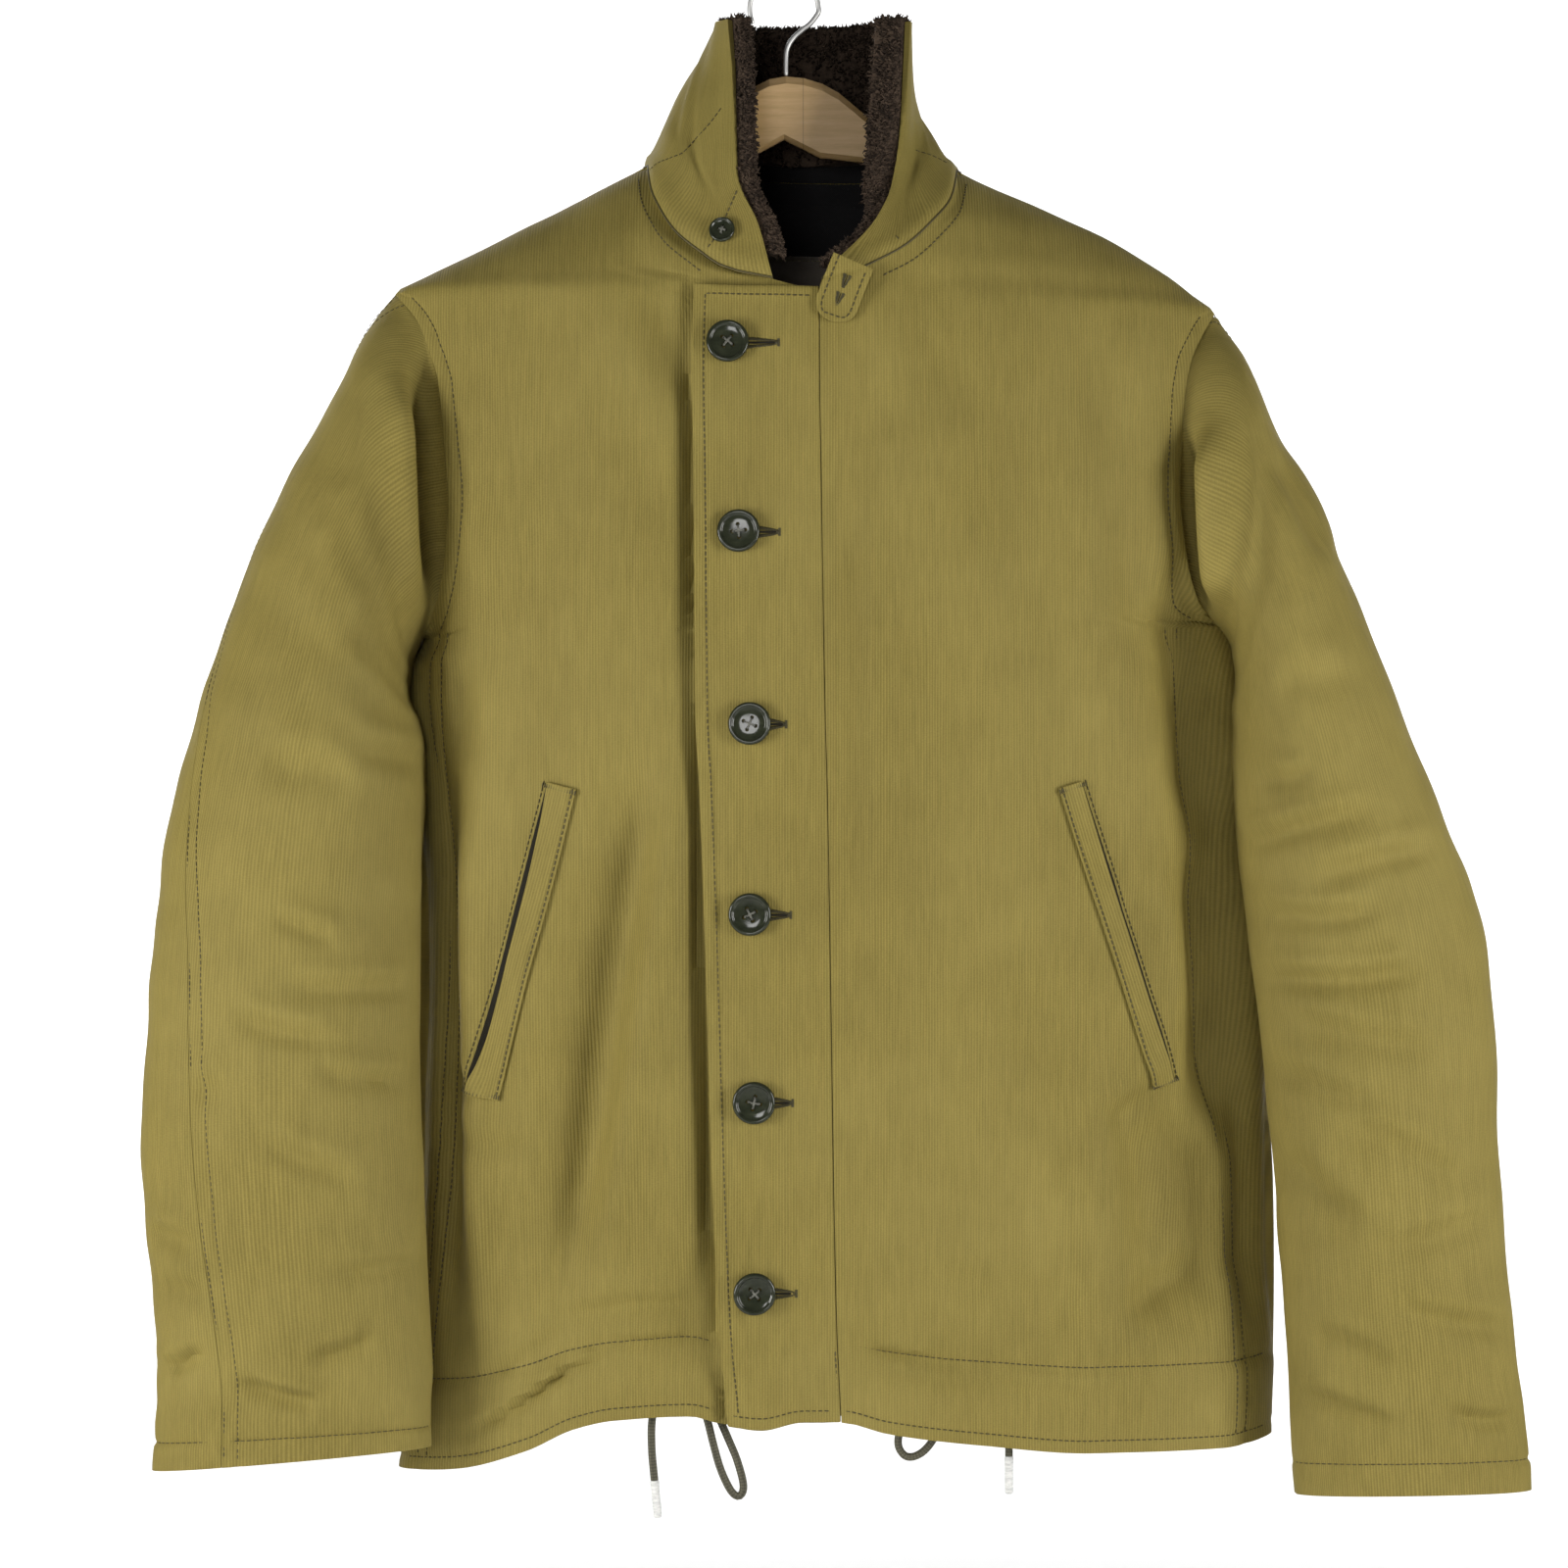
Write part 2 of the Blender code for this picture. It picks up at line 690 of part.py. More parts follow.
def armhole_point(side, theta):
    """The armhole seam as a loop: 0 at the shoulder, 180 under the arm, front first."""
    front = theta <= math.pi
    share = theta / math.pi if front else (2.0 * math.pi - theta) / math.pi
    level = mix(ARM_TOP, ARM_BASE, share)
    if share in (0.0, 1.0):
        angle = math.pi if side < 0 else 0.0
    else:
        angle = armhole_angle(level, side, front)
    return body_point(level, angle), body_normal(level, angle)


def sleeve_point(side, section, theta):
    """A point of the sleeve's outer form."""
    table = SLEEVE_MINUS if side < 0 else SLEEVE_PLUS
    at = max(section, 0.0)
    outer = Vector((table.at("outer_x", at), 0.0, table.at("outer_z", at)))
    inner = Vector((table.at("inner_x", at), 0.0, table.at("inner_z", at)))
    power = 2.0 / SLEEVE_ROUNDNESS
    point = (outer + inner) * 0.5 + (outer - inner) * 0.5 * signed_power(math.cos(theta), power)
    point.y = table.at("middle", at) - table.at("half", at) * signed_power(math.sin(theta), power)
    head = 1.0 - ease(section / SLEEVE_HEAD)
    if head > 0.0:
        point = point * (1.0 - head) + armhole_point(side, theta % (2.0 * math.pi))[0] * head
    return point


def sleeve_angles(side, section):
    """Angles of the ring's points: from the elbow seam over the front to the underarm, then the back."""
    table = SLEEVE_MINUS if side < 0 else SLEEVE_PLUS
    seam = math.radians(table.at("seam", section))
    front = [mix(seam, math.pi, k / ARM_ROWS) for k in range(ARM_ROWS + 1)]
    behind = [mix(math.pi, 2.0 * math.pi + seam, k / ARM_ROWS) for k in range(1, ARM_ROWS)]
    return front + behind


def sleeve_rings(side):
    """Outer rings and normals of a whole sleeve, seam point first."""
    rings = []
    for section in range(SLEEVE_SECTIONS + 1):
        rings.append([sleeve_point(side, section, theta) for theta in sleeve_angles(side, section)])
    normals = grid_normals(rings, closed=True)
    if (rings[4][0] - rings[4][ARM_ROWS]).dot(normals[4][0]) < 0.0:
        normals = [[-n for n in line] for line in normals]
    loop = [armhole_point(side, theta) for theta in sleeve_angles(side, 0)]
    middle = sum((p for p, _ in loop), Vector()) / len(loop)
    for k, (point, normal) in enumerate(loop):
        inward = middle - point
        inward -= normal * inward.dot(normal)
        rings[0][k] = point + inward.normalized() * SEAM_GAP
        normals[0][k] = normal
    return rings, normals


def add_sleeve(side, name):
    rings, normals = sleeve_rings(side)
    inner = moved(rings, normals, -CLOTH)
    count = 2 * ARM_ROWS
    for part, first in (("under", 0), ("top", ARM_ROWS)):
        columns = [(first + k) % count for k in range(ARM_ROWS + 1)]
        outer_grid = [[row[k].copy() for k in columns] for row in rings]
        inner_grid = [[row[k].copy() for k in columns] for row in inner]
        for grid in (outer_grid, inner_grid):
            for row in grid:
                start = (row[1] - row[0]).normalized()
                end = (row[-2] - row[-1]).normalized()
                row[0] += start * (0.5 * SEAM_GAP)
                row[-1] += end * (0.5 * SEAM_GAP)
        add_wall(f"sleeve_{name}_{part}", outer_grid, inner_grid, KHAKI, 0.8)


# Collar

def neck_seam():
    """Level and angle of the neck seam's points, from the right front end round the back to the left."""
    seam = [(level, right_inner_angle(level)) for level in reversed(SHOULDER_LEVELS)]
    for k in range(1, BACK_COLUMNS):
        seam.append((NECK_TOP, mix(math.pi, 0.0, k / BACK_COLUMNS)))
    seam += [(level, left_inner_angle(level) - 2.0 * math.pi) for level in SHOULDER_LEVELS]
    return seam


def collar_angle(height, end):
    """The plan angle at which the collar's ring reaches one of its front ends."""
    minus_x, plus_x = COLLAR.at("minus_x", height), COLLAR.at("plus_x", height)
    share = (COLLAR.at(end, height) - 0.5 * (minus_x + plus_x)) / (0.5 * (plus_x - minus_x))
    angle = math.acos(signed_power(min(max(share, -1.0), 1.0), COLLAR_ROUNDNESS / 2.0))
    return 2.0 * math.pi - angle if end == "minus_end" else -angle


def collar_ring(height, share):
    """A point of the collar's plan at a share of the way round, without its height."""
    start, end = collar_angle(height, "minus_end"), collar_angle(height, "plus_end")
    angle = mix(start, end, share)
    minus_x, plus_x = COLLAR.at("minus_x", height), COLLAR.at("plus_x", height)
    power = 2.0 / COLLAR_ROUNDNESS
    x = mix(minus_x, plus_x, 0.5) + 0.5 * (plus_x - minus_x) * signed_power(math.cos(angle), power)
    sine = math.sin(angle)
    y = COLLAR.at("back" if sine > 0.0 else "front", height) * signed_power(sine, power)
    return x, y, ease(0.5 + 0.5 * sine)


def collar_grid():
    """Outer points and normals of the collar, standing on the neck seam."""
    seam = neck_seam()
    base = [body_point(level, angle) for level, angle in seam]
    base_normals = [body_normal(level, angle) for level, angle in seam]
    for k, normal in enumerate(base_normals):
        inward = Vector(NECK_AIM) - base[k]
        inward -= normal * inward.dot(normal)
        base[k] = base[k] + inward.normalized() * SEAM_GAP
        if abs(base[k].y) < 1.0:
            normal.y = 0.0
            normal.normalize()
    start = collar_angle(0.0, "minus_end")
    sweep = collar_angle(0.0, "plus_end") - start
    centre = 0.5 * (COLLAR.at("minus_x", 0.0) + COLLAR.at("plus_x", 0.0))
    shares = []
    for point in base:
        angle = math.atan2(point.y / NECK_HALF_DEPTH, (point.x - centre) / NECK_HALF_WIDTH)
        if angle < -0.5 * math.pi and point.x < centre:
            angle += 2.0 * math.pi
        shares.append(min(max((angle - start) / sweep, 0.0), 1.0))
    shares[0], shares[-1] = 0.0, 1.0
    grid = [[p.copy() for p in base]]
    for i in range(1, COLLAR_ROWS + 1):
        height = i / COLLAR_ROWS
        row = []
        for point, share in zip(base, shares):
            x, y, rear = collar_ring(height, share)
            top = mix(COLLAR_TOP_FRONT, COLLAR_TOP_BACK, rear)
            z = mix(point.z, top, height)
            hold = 1.0 - ease(height / COLLAR_BASE_BLEND)
            ring_x, ring_y, _ = collar_ring(0.0, share)
            x += (point.x - ring_x) * hold
            y += (point.y - ring_y) * hold
            row.append(Vector((x, y, z)))
        grid.append(row)
    normals = grid_normals(grid, closed=False)
    half = len(base) // 2
    if normals[3][half].y < 0.0:
        normals = [[-n for n in line] for line in normals]
    normals[0] = base_normals
    return grid, normals


def add_collar():
    grid, normals = collar_grid()
    add_wall("collar_shell", grid, moved(grid, normals, -CLOTH), KHAKI, 0.8)
    outer = moved(grid[1:], normals[1:], -(CLOTH + SEAM_GAP))
    inner = moved(grid[1:], normals[1:], -(CLOTH + SEAM_GAP + PILE))
    for own in (outer, inner):
        own[-1] = [p + (p - q).normalized() * PILE_RISE for p, q in zip(own[-1], own[-2])]
    add_wall("collar_pile", outer, inner, PILE_BROWN, 0.95)
    return grid, normals


# Pieces inside the neck

def add_lining(rear, rear_normals):
    """The lining behind the neck, and the blank label sewn on it."""
    rows, columns = slice(1, 9), slice(4, 17)
    grid = [row[columns] for row in rear[rows]]
    normals = [row[columns] for row in rear_normals[rows]]
    outer = moved(grid, normals, -(CLOTH + SEAM_GAP))
    inner = moved(grid, normals, -(CLOTH + SEAM_GAP + LINING))
    add_wall("back_lining", outer, inner, LINING_BLACK, 0.9)
    tree = surface_tree([inner])
    label_rows, label_columns = 4, 8
    behind, facing = [], []
    for i in range(label_rows + 1):
        z = LABEL_TOP - LABEL_HEIGHT * i / label_rows
        line = []
        for j in range(label_columns + 1):
            x = LABEL_MIDDLE + LABEL_WIDTH * (j / label_columns - 0.5)
            place, _, _, _ = tree.ray_cast(Vector((x, 0.0, z)), Vector((0.0, 1.0, 0.0)))
            line.append(place - Vector((0.0, LAY_GAP, 0.0)))
        behind.append(line)
        facing.append([p - Vector((0.0, LABEL_THICKNESS, 0.0)) for p in line])
    add_wall("neck_label", behind, facing, LABEL_GREY, 0.7)


# Pieces that lie on the front

def add_welt(name, tree, line, half_width):
    """A pocket welt laid on the front: a narrow strip along its slanting line."""
    start, end = Vector((line[0][0], 0.0, line[0][1])), Vector((line[1][0], 0.0, line[1][1]))
    along = (end - start).normalized()
    across = Vector((-along.z, 0.0, along.x))
    rows, columns = 12, 3
    outer, inner = [], []
    for i in range(rows + 1):
        low, high = [], []
        for j in range(columns + 1):
            place = start + (end - start) * (i / rows) + across * (half_width * (2.0 * j / columns - 1.0))
            y = seat_y(tree, place.x, place.z) - LAY_GAP
            low.append(Vector((place.x, y, place.z)))
            high.append(Vector((place.x, y - WELT_THICKNESS, place.z)))
        inner.append(low)
        outer.append(high)
    add_wall(name, outer, inner, KHAKI, 0.8)


def strap_half_width(t):
    """Half of the strap's width along its length, with a round end."""
    rounding = 0.74
    half = 0.5 * STRAP_WIDTH
    if t <= rounding:
        return half
    s = (t - rounding) / (1.0 - rounding)
    return max(half * math.sqrt(max(1.0 - s * s, 0.0)), 2.0)


def add_strap(tree):
    rows, columns = 12, 3
    start, knee, end = (Vector((x, 0.0, z)) for x, z in STRAP_LINE)
    outer, inner = [], []
    for i in range(rows + 1):
        t = i / rows
        place = start * (1 - t) ** 2 + knee * 2 * t * (1 - t) + end * t * t
        tangent = ((knee - start) * (1 - t) + (end - knee) * t).normalized()
        across = Vector((-tangent.z, 0.0, tangent.x))
        half = strap_half_width(t)
        spots = [place + across * (s * half) for s in (-1, 0, 1)]
        below = [front_y(tree, spot.x, spot.z) for spot in spots]
        nearest = min(y for y in below if y is not None)
        lift = mix(1.5, LAY_GAP + 0.1, ease(t / 0.7))
        low = [place + across * (half * (2.0 * j / columns - 1.0)) for j in range(columns + 1)]
        for point in low:
            point.y = nearest - lift
        inner.append(low)
        outer.append([p + Vector((0.0, -STRAP_THICKNESS, 0.0)) for p in low])
    add_wall("throat_strap", outer, inner, KHAKI, 0.8)


def add_button(name, seat, normal, radius, height):
    """A turned button with a raised rim, standing on its seat."""
    profile = ((0.88, 0.0), (1.0, 0.28), (1.0, 0.72), (0.92, 1.0), (0.80, 1.0), (0.68, 0.72))
    around = 18
    side = normal.orthogonal().normalized()
    other = normal.cross(side)
    points = [seat.copy()]
    for share, rise in profile:
        for k in range(around):
            turn = 2.0 * math.pi * k / around
            points.append(seat + (side * math.cos(turn) + other * math.sin(turn)) * (radius * share)
                          + normal * (height * rise))
    points.append(seat + normal * (height * 0.66))
    faces = []
    last = len(points) - 1
    top = 1 + (len(profile) - 1) * around
    for k in range(around):
        after = (k + 1) % around
        faces.append((0, 1 + after, 1 + k))
        faces.append((last, top + k, top + after))
        for ring in range(len(profile) - 1):
            a, b = 1 + ring * around + k, 1 + ring * around + after
            faces.append((a, b, b + around, a + around))
    add_object(name, points, faces, BUTTON_GREEN, 0.25)


def add_front_buttons(tree):
    for k, (x, z) in enumerate(BUTTONS):
        reach = 0.8 * BUTTON_RADIUS
        right, left = front_y(tree, x + reach, z), front_y(tree, x - reach, z)
        above, below = front_y(tree, x, z + reach), front_y(tree, x, z - reach)
        normal = Vector((right - left, -2.0 * reach, above - below)).normalized()
        surface = front_y(tree, x, z)
        seat = Vector((x, surface, z)) + normal * (LAY_GAP + 0.15)
        add_button(f"button_{k + 1}", seat, normal, BUTTON_RADIUS, BUTTON_HEIGHT)


def add_collar_button(grid):
    """The small button at the right front of the collar."""
    tree = surface_tree([grid])
    x, z = COLLAR_BUTTON
    place, normal, _, _ = tree.ray_cast(Vector((x, -400.0, z)), Vector((0.0, 1.0, 0.0)))
    if normal.y > 0.0:
        normal = -normal
    seat = place + normal * (LAY_GAP + 0.3)
    add_button("collar_button", seat, normal, COLLAR_BUTTON_RADIUS, COLLAR_BUTTON_HEIGHT)


# Hanger

def ridge_points(side, gap):
    """The underside of a shoulder seam, lowered a little, from the neck outwards."""
    angle = math.pi if side < 0 else 0.0
    made = []
    for level in SHOULDER_LEVELS + (ARM_TOP,):
        normal = body_normal(level, angle)
        normal.y = 0.0
        normal.normalize()
        made.append(body_point(level, angle) - normal * (CLOTH + gap))
    return made


def cut_at(points, reach):
    """The line up to where its X passes the reach."""
    made = []
    for before, after in zip(points, points[1:]):
        made.append(before)
        if abs(after.x) >= reach:
            t = (reach - abs(before.x)) / (abs(after.x) - abs(before.x))
            made.append(before.lerp(after, t))
            return made
    return made + [points[-1]]


def add_hanger():
    seat_gap = 0.5
    minus = cut_at(ridge_points(-1, seat_gap), HANGER_REACH)
    plus = cut_at(ridge_points(1, seat_gap), HANGER_REACH)
    arch = [Vector((x, 0.0, z)) for x, z in HANGER_ARCH]
    top = list(reversed(minus)) + arch + plus
    ends = [Vector((plus[-1].x, 0.0, plus[-1].z - HANGER_DROP_END)),
            Vector((minus[-1].x, 0.0, minus[-1].z - HANGER_DROP_END))]
    under = [ends[0]] + [Vector((x, 0.0, z)) for x, z in HANGER_UNDER] + [ends[1]]
    outline = top + under
    half = 0.5 * HANGER_THICKNESS
    slices = []
    for y, inset in ((-half, HANGER_CHAMFER), (HANGER_CHAMFER - half, 0.0), (half - HANGER_CHAMFER, 0.0),
                     (half, HANGER_CHAMFER)):
        loop = []
        for k, point in enumerate(outline):
            sink = -inset if k < len(top) else 0.5 * inset
            loop.append(Vector((point.x, y, point.z + sink)))
        slices.append(loop)
    count = len(outline)
    points = [p for loop in slices for p in loop]
    faces = [tuple(range(count - 1, -1, -1)), tuple(range(3 * count, 4 * count))]
    for s in range(3):
        for k in range(count):
            after = (k + 1) % count
            a, b = s * count + k, s * count + after
            faces.append((a, b, b + count, a + count))
    add_object("hanger_wood", points, faces, WOOD, 0.45)


def add_tube(name, points, diameter, resolution, colour, roughness, metallic=0.0):
    curve = bpy.data.curves.new(name, "CURVE")
    curve.dimensions = "3D"
    curve.bevel_depth = 0.5 * diameter * MM
    curve.bevel_resolution = resolution
    curve.use_fill_caps = True
    spline = curve.splines.new("POLY")
    spline.points.add(len(points) - 1)
    for knot, point in zip(spline.points, points):
        knot.co = (*(point * MM), 1.0)
    curve.materials.append(material(name, colour, roughness, metallic))
    made = bpy.data.objects.new(name, curve)
    bpy.context.scene.collection.objects.link(made)
    return made


def hook_route():
    """Up from the wood, out to the right, and over the rail in most of a circle."""
    centre = Vector((0.0, 0.0, 0.5 * HOOK_WIRE - HOOK_RADIUS))
    stem = [(1.0, -53.9), (1.0, -44.0), (1.0, -38.0), (2.5, -35.2), (6.0, -32.0), (10.5, -28.5), (14.4, -25.2)]
    route = [Vector((x, 0.0, z)) for x, z in stem]
    first, last, steps = -6.0, 205.0, 20
    for k in range(steps + 1):
        turn = math.radians(mix(first, last, k / steps))
        route.append(centre + Vector((math.cos(turn), 0.0, math.sin(turn))) * HOOK_RADIUS)
    return route


# Drawcords

def spline_through(route, count):
    """Evenly many points of a smooth curve through a route."""
    points = [Vector(p) for p in route]
    padded = [points[0] * 2 - points[1]] + points + [points[-1] * 2 - points[-2]]
    fine = []
    for k in range(1, len(padded) - 2):
        p0, p1, p2, p3 = padded[k - 1:k + 3]
        for step in range(16):
            t = step / 16.0
            fine.append(0.5 * (2 * p1 + (p2 - p0) * t + (2 * p0 - 5 * p1 + 4 * p2 - p3) * t * t
                               + (3 * p1 - p0 - 3 * p2 + p3) * t ** 3))
    fine.append(points[-1])
    walked = [0.0]
    for a, b in zip(fine, fine[1:]):
        walked.append(walked[-1] + (b - a).length)
    made = []
    k = 0
    for i in range(count):
        goal = walked[-1] * i / (count - 1)
        while k < len(walked) - 2 and walked[k + 1] < goal:
            k += 1
        t = (goal - walked[k]) / (walked[k + 1] - walked[k])
        made.append(fine[k].lerp(fine[k + 1], min(max(t, 0.0), 1.0)))
    return made


def add_cord(name, route, inner_tree):
    """A cord from the inner face of the front hem, with its tip on the free end."""
    x, _, z = route[0]
    y = front_y(inner_tree, x, z) + LAY_GAP
    route = ((x, y, z), (x, y + CORD_DIAMETER, z)) + route[1:]
    points = spline_through(route, CORD_POINTS)
    add_tube(f"cord_{name}", points, CORD_DIAMETER, 2, CORD_OLIVE, 0.8)
    tangent = (points[-1] - points[-3]).normalized()
    start = points[-1] + tangent * SEAM_GAP
    add_tube(f"aglet_{name}", [start, start + tangent * AGLET_LENGTH], AGLET_DIAMETER, 2, AGLET_WHITE, 0.3)


# Building

def clear_scene():
    for item in list(bpy.data.objects):
        bpy.data.objects.remove(item, do_unlink=True)


def add_body():
    grids = {"front_right": front_right(), "front_left": front_left(), "placket": placket(), "back": back()}
    right, right_normals = grids["front_right"]
    left, left_normals = grids["front_left"]
    strip, strip_normals = grids["placket"]
    rear, rear_normals = grids["back"]
    part_ridge(right, right_normals, 0, -1.0)
    part_ridge(left, left_normals, -1, -1.0)
    part_ridge(rear, rear_normals, 0, 1.0)
    part_ridge(rear, rear_normals, -1, 1.0)
    part_seam(left, left_normals, 0, 1)
    part_seam(strip, strip_normals, -1, -2)
    for name, (grid, normals) in grids.items():
        add_wall(name, grid, moved(grid, normals, -CLOTH), KHAKI, 0.8)
    return grids


def main():
    clear_scene()
    grids = add_body()
    add_sleeve(-1, "right")
    add_sleeve(1, "left")
    collar, _ = add_collar()
    add_lining(*grids["back"])
    tree = surface_tree([grids[name][0] for name in ("front_right", "front_left", "placket")])
    for name, (start, end, width) in (("welt_right", WELT_MINUS), ("welt_left", WELT_PLUS)):
        add_welt(name, tree, (start, end), 0.5 * width)
    add_strap(surface_tree([grids["front_left"][0], grids["placket"][0], collar]))
    add_front_buttons(tree)
    add_collar_button(collar)
    add_hanger()
    add_tube("hanger_hook", hook_route(), HOOK_WIRE, 2, STEEL, 0.25, 1.0)
    inner_tree = surface_tree([moved(*grids[name], -CLOTH) for name in ("front_right", "front_left")])
    add_cord("right", CORD_MINUS, inner_tree)
    add_cord("left", CORD_PLUS, inner_tree)


main()
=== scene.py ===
import math

import bpy
import numpy as np
from mathutils import Matrix, Vector
from mathutils.bvhtree import BVHTree


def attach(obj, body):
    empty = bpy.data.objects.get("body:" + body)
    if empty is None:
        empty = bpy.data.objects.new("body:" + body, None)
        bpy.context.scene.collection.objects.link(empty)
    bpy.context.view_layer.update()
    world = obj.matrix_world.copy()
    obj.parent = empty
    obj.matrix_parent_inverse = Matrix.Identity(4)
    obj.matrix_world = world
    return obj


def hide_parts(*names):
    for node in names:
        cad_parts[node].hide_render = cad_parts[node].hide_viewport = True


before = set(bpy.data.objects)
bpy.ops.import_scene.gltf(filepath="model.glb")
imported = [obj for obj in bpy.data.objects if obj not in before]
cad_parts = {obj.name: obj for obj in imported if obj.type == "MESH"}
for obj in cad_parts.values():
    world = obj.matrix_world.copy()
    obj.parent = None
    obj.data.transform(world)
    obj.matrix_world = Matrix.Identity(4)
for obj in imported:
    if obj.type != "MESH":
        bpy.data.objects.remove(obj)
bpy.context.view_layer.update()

MM = 0.001

# Driving sizes of the cut, in millimetres, as the solids have them
CLOTH = 3.0
SEAM_GAP = 0.3
LAY_GAP = 0.45
TUCK, TUCK_RUN, UNDERLAP_EDGE = 4.5, 30.0, 8.0
PILE, PILE_RISE = 9.0, 2.0
LINING = 1.2
BUTTON_RADIUS, BUTTON_HEIGHT = 11.4, 3.6
COLLAR_BUTTON_RADIUS, COLLAR_BUTTON_HEIGHT = 7.0, 2.8
CORD_DIAMETER, AGLET_DIAMETER = 4.2, 5.0
HOOK_WIRE, HOOK_RADIUS = 2.8, 18.8

NECK_TOP, NECK_BASE, PLACKET_TOP = -106.0, -173.0, -176.5
ARM_TOP, ARM_BASE = -179.4, -360.0
HEM_BAND, HEM = -750.0, -795.0
HEM_STITCH = -788.5
HEM_DROP_START = -650.0
BACK_ARMHOLE_DEPTH = 0.7
TILT_CENTRE = 11.5
CUFF_STITCH = 15.42

# Fineness of the cloth's grids, in millimetres
GRID = 3.4

# How the photograph was taken: the plane of the front stands 2.6 m from the lens
CAMERA_DISTANCE, FRONT_PLANE, VIEW_HEIGHT, VIEW_WIDTH = 2.6, -0.06, -0.442, 0.84
SENSOR = 36.0


class Table:
    """Rows of sizes with named columns, read as smooth curves that never overshoot them."""

    def __init__(self, columns, rows):
        data = np.array(rows, float)
        if data[0, 0] > data[-1, 0]:
            data = data[::-1]
        self.station = data[:, 0]
        self.values, self.slopes = {}, {}
        for i, name in enumerate(columns):
            values = data[:, i]
            rise = np.diff(values) / np.diff(self.station)
            slopes = np.concatenate(([rise[0]], np.zeros(len(rise) - 1), [rise[-1]]))
            same = rise[:-1] * rise[1:] > 0.0
            total = np.where(same, rise[:-1] + rise[1:], 1.0)
            slopes[1:-1] = np.where(same, 2.0 * rise[:-1] * rise[1:] / total, 0.0)
            self.values[name], self.slopes[name] = values, slopes

    def at(self, name, station):
        x = np.clip(np.asarray(station, float), self.station[0], self.station[-1])
        k = np.clip(np.searchsorted(self.station, x, side="right") - 1, 0, len(self.station) - 2)
        step = self.station[k + 1] - self.station[k]
        t = (x - self.station[k]) / step
        values, slopes = self.values[name], self.slopes[name]
        start = values[k] * (1 + 2 * t) * (1 - t) ** 2 + slopes[k] * step * t * (1 - t) ** 2
        end = values[k + 1] * t * t * (3 - 2 * t) - slopes[k + 1] * step * t * t * (1 - t)
        return start + end


TORSO = Table(
    ("level", "minus_x", "plus_x", "front", "back", "roundness"),
    (
        (-97, -60, 82, 62, 52, 1.60),
        (-106, -77, 97, 64, 54, 1.60),
        (-114, -91, 114, 66, 56, 1.60),
        (-126, -114, 143, 68, 58, 1.62),
        (-137, -134, 170, 71, 60, 1.65),
        (-149, -157, 192, 73, 62, 1.70),
        (-160, -178, 211.5, 75, 63, 1.75),
        (-170, -198, 224.5, 76, 64, 1.80),
        (ARM_TOP, -213, 235.8, 77.5, 65, 1.90),
        (-225, -211, 238.5, 83, 68, 2.10),
        (-286, -205, 239.5, 87, 70, 2.30),
        (ARM_BASE, -197.5, 238, 90, 71, 2.40),
        (-385, -197, 240, 90, 71, 2.40),
        (-442, -198.5, 243, 90, 70, 2.40),
        (-550, -201, 250, 88, 66, 2.40),
        (-603, -202, 256, 85, 63, 2.40),
        (-657, -203.5, 262, 81, 60, 2.40),
        (-754, -207, 266, 73, 55, 2.35),
        (-803, -210.5, 266.5, 68, 52, 2.30),
    ),
)
TILT = Table(
    ("level", "slope"),
    ((-97, -0.014), (NECK_TOP, -0.016), (ARM_TOP, -0.024), (ARM_BASE, 0.013), (-600, 0), (-803, 0)),
)
HEM_DROP = Table(
    ("x", "drop"),
    (
        (-211, 20), (-174, 16), (-138, 5), (-113, -7), (-90, -12.5), (-50, -15), (-31, -10), (-12, -7.5),
        (10, -12), (30, -12), (56, -6), (107, 0.5), (168, 5.5), (236, 5.5), (267, 1),
    ),
)
ARMHOLE_MINUS = Table(
    ("level", "x"),
    (
        (ARM_TOP, -213), (-196, -199), (-210, -193), (-228, -187), (-264, -183), (-289, -181),
        (-318, -183), (-342, -188), (-354, -192.5), (ARM_BASE, -197.5),
    ),
)
ARMHOLE_PLUS = Table(
    ("level", "x"),
    (
        (ARM_TOP, 235.8), (-196, 226), (-211, 220), (-228, 217), (-248, 215), (-283, 213), (-322, 217),
        (-347, 224), (ARM_BASE, 238),
    ),
)
NECKLINE_MINUS = Table(
    ("level", "x"),
    (
        (NECK_TOP, -74.5), (-122, -72), (-136, -66), (-148, -58), (-159, -45), (-168, -31),
        (NECK_BASE, -6),
    ),
)
NECKLINE_PLUS = Table(
    ("level", "x"),
    (
        (NECK_TOP, 94.5), (-125, 90), (-142, 77), (-154, 64), (-162, 50), (-168, 38), (NECK_BASE, 20),
    ),
)
PLACKET = Table(
    ("level", "edge", "seam"),
    (
        (PLACKET_TOP, -48, 19),
        (-213, -49, 19),
        (-286, -48, 20),
        (-406, -47, 22),
        (-442, -45, 23),
        (-733, -35, 28),
        (HEM, -30, 30.5),
    ),
)
SLEEVE_COLUMNS = ("section", "outer_x", "outer_z", "inner_x", "inner_z", "half", "middle", "seam")
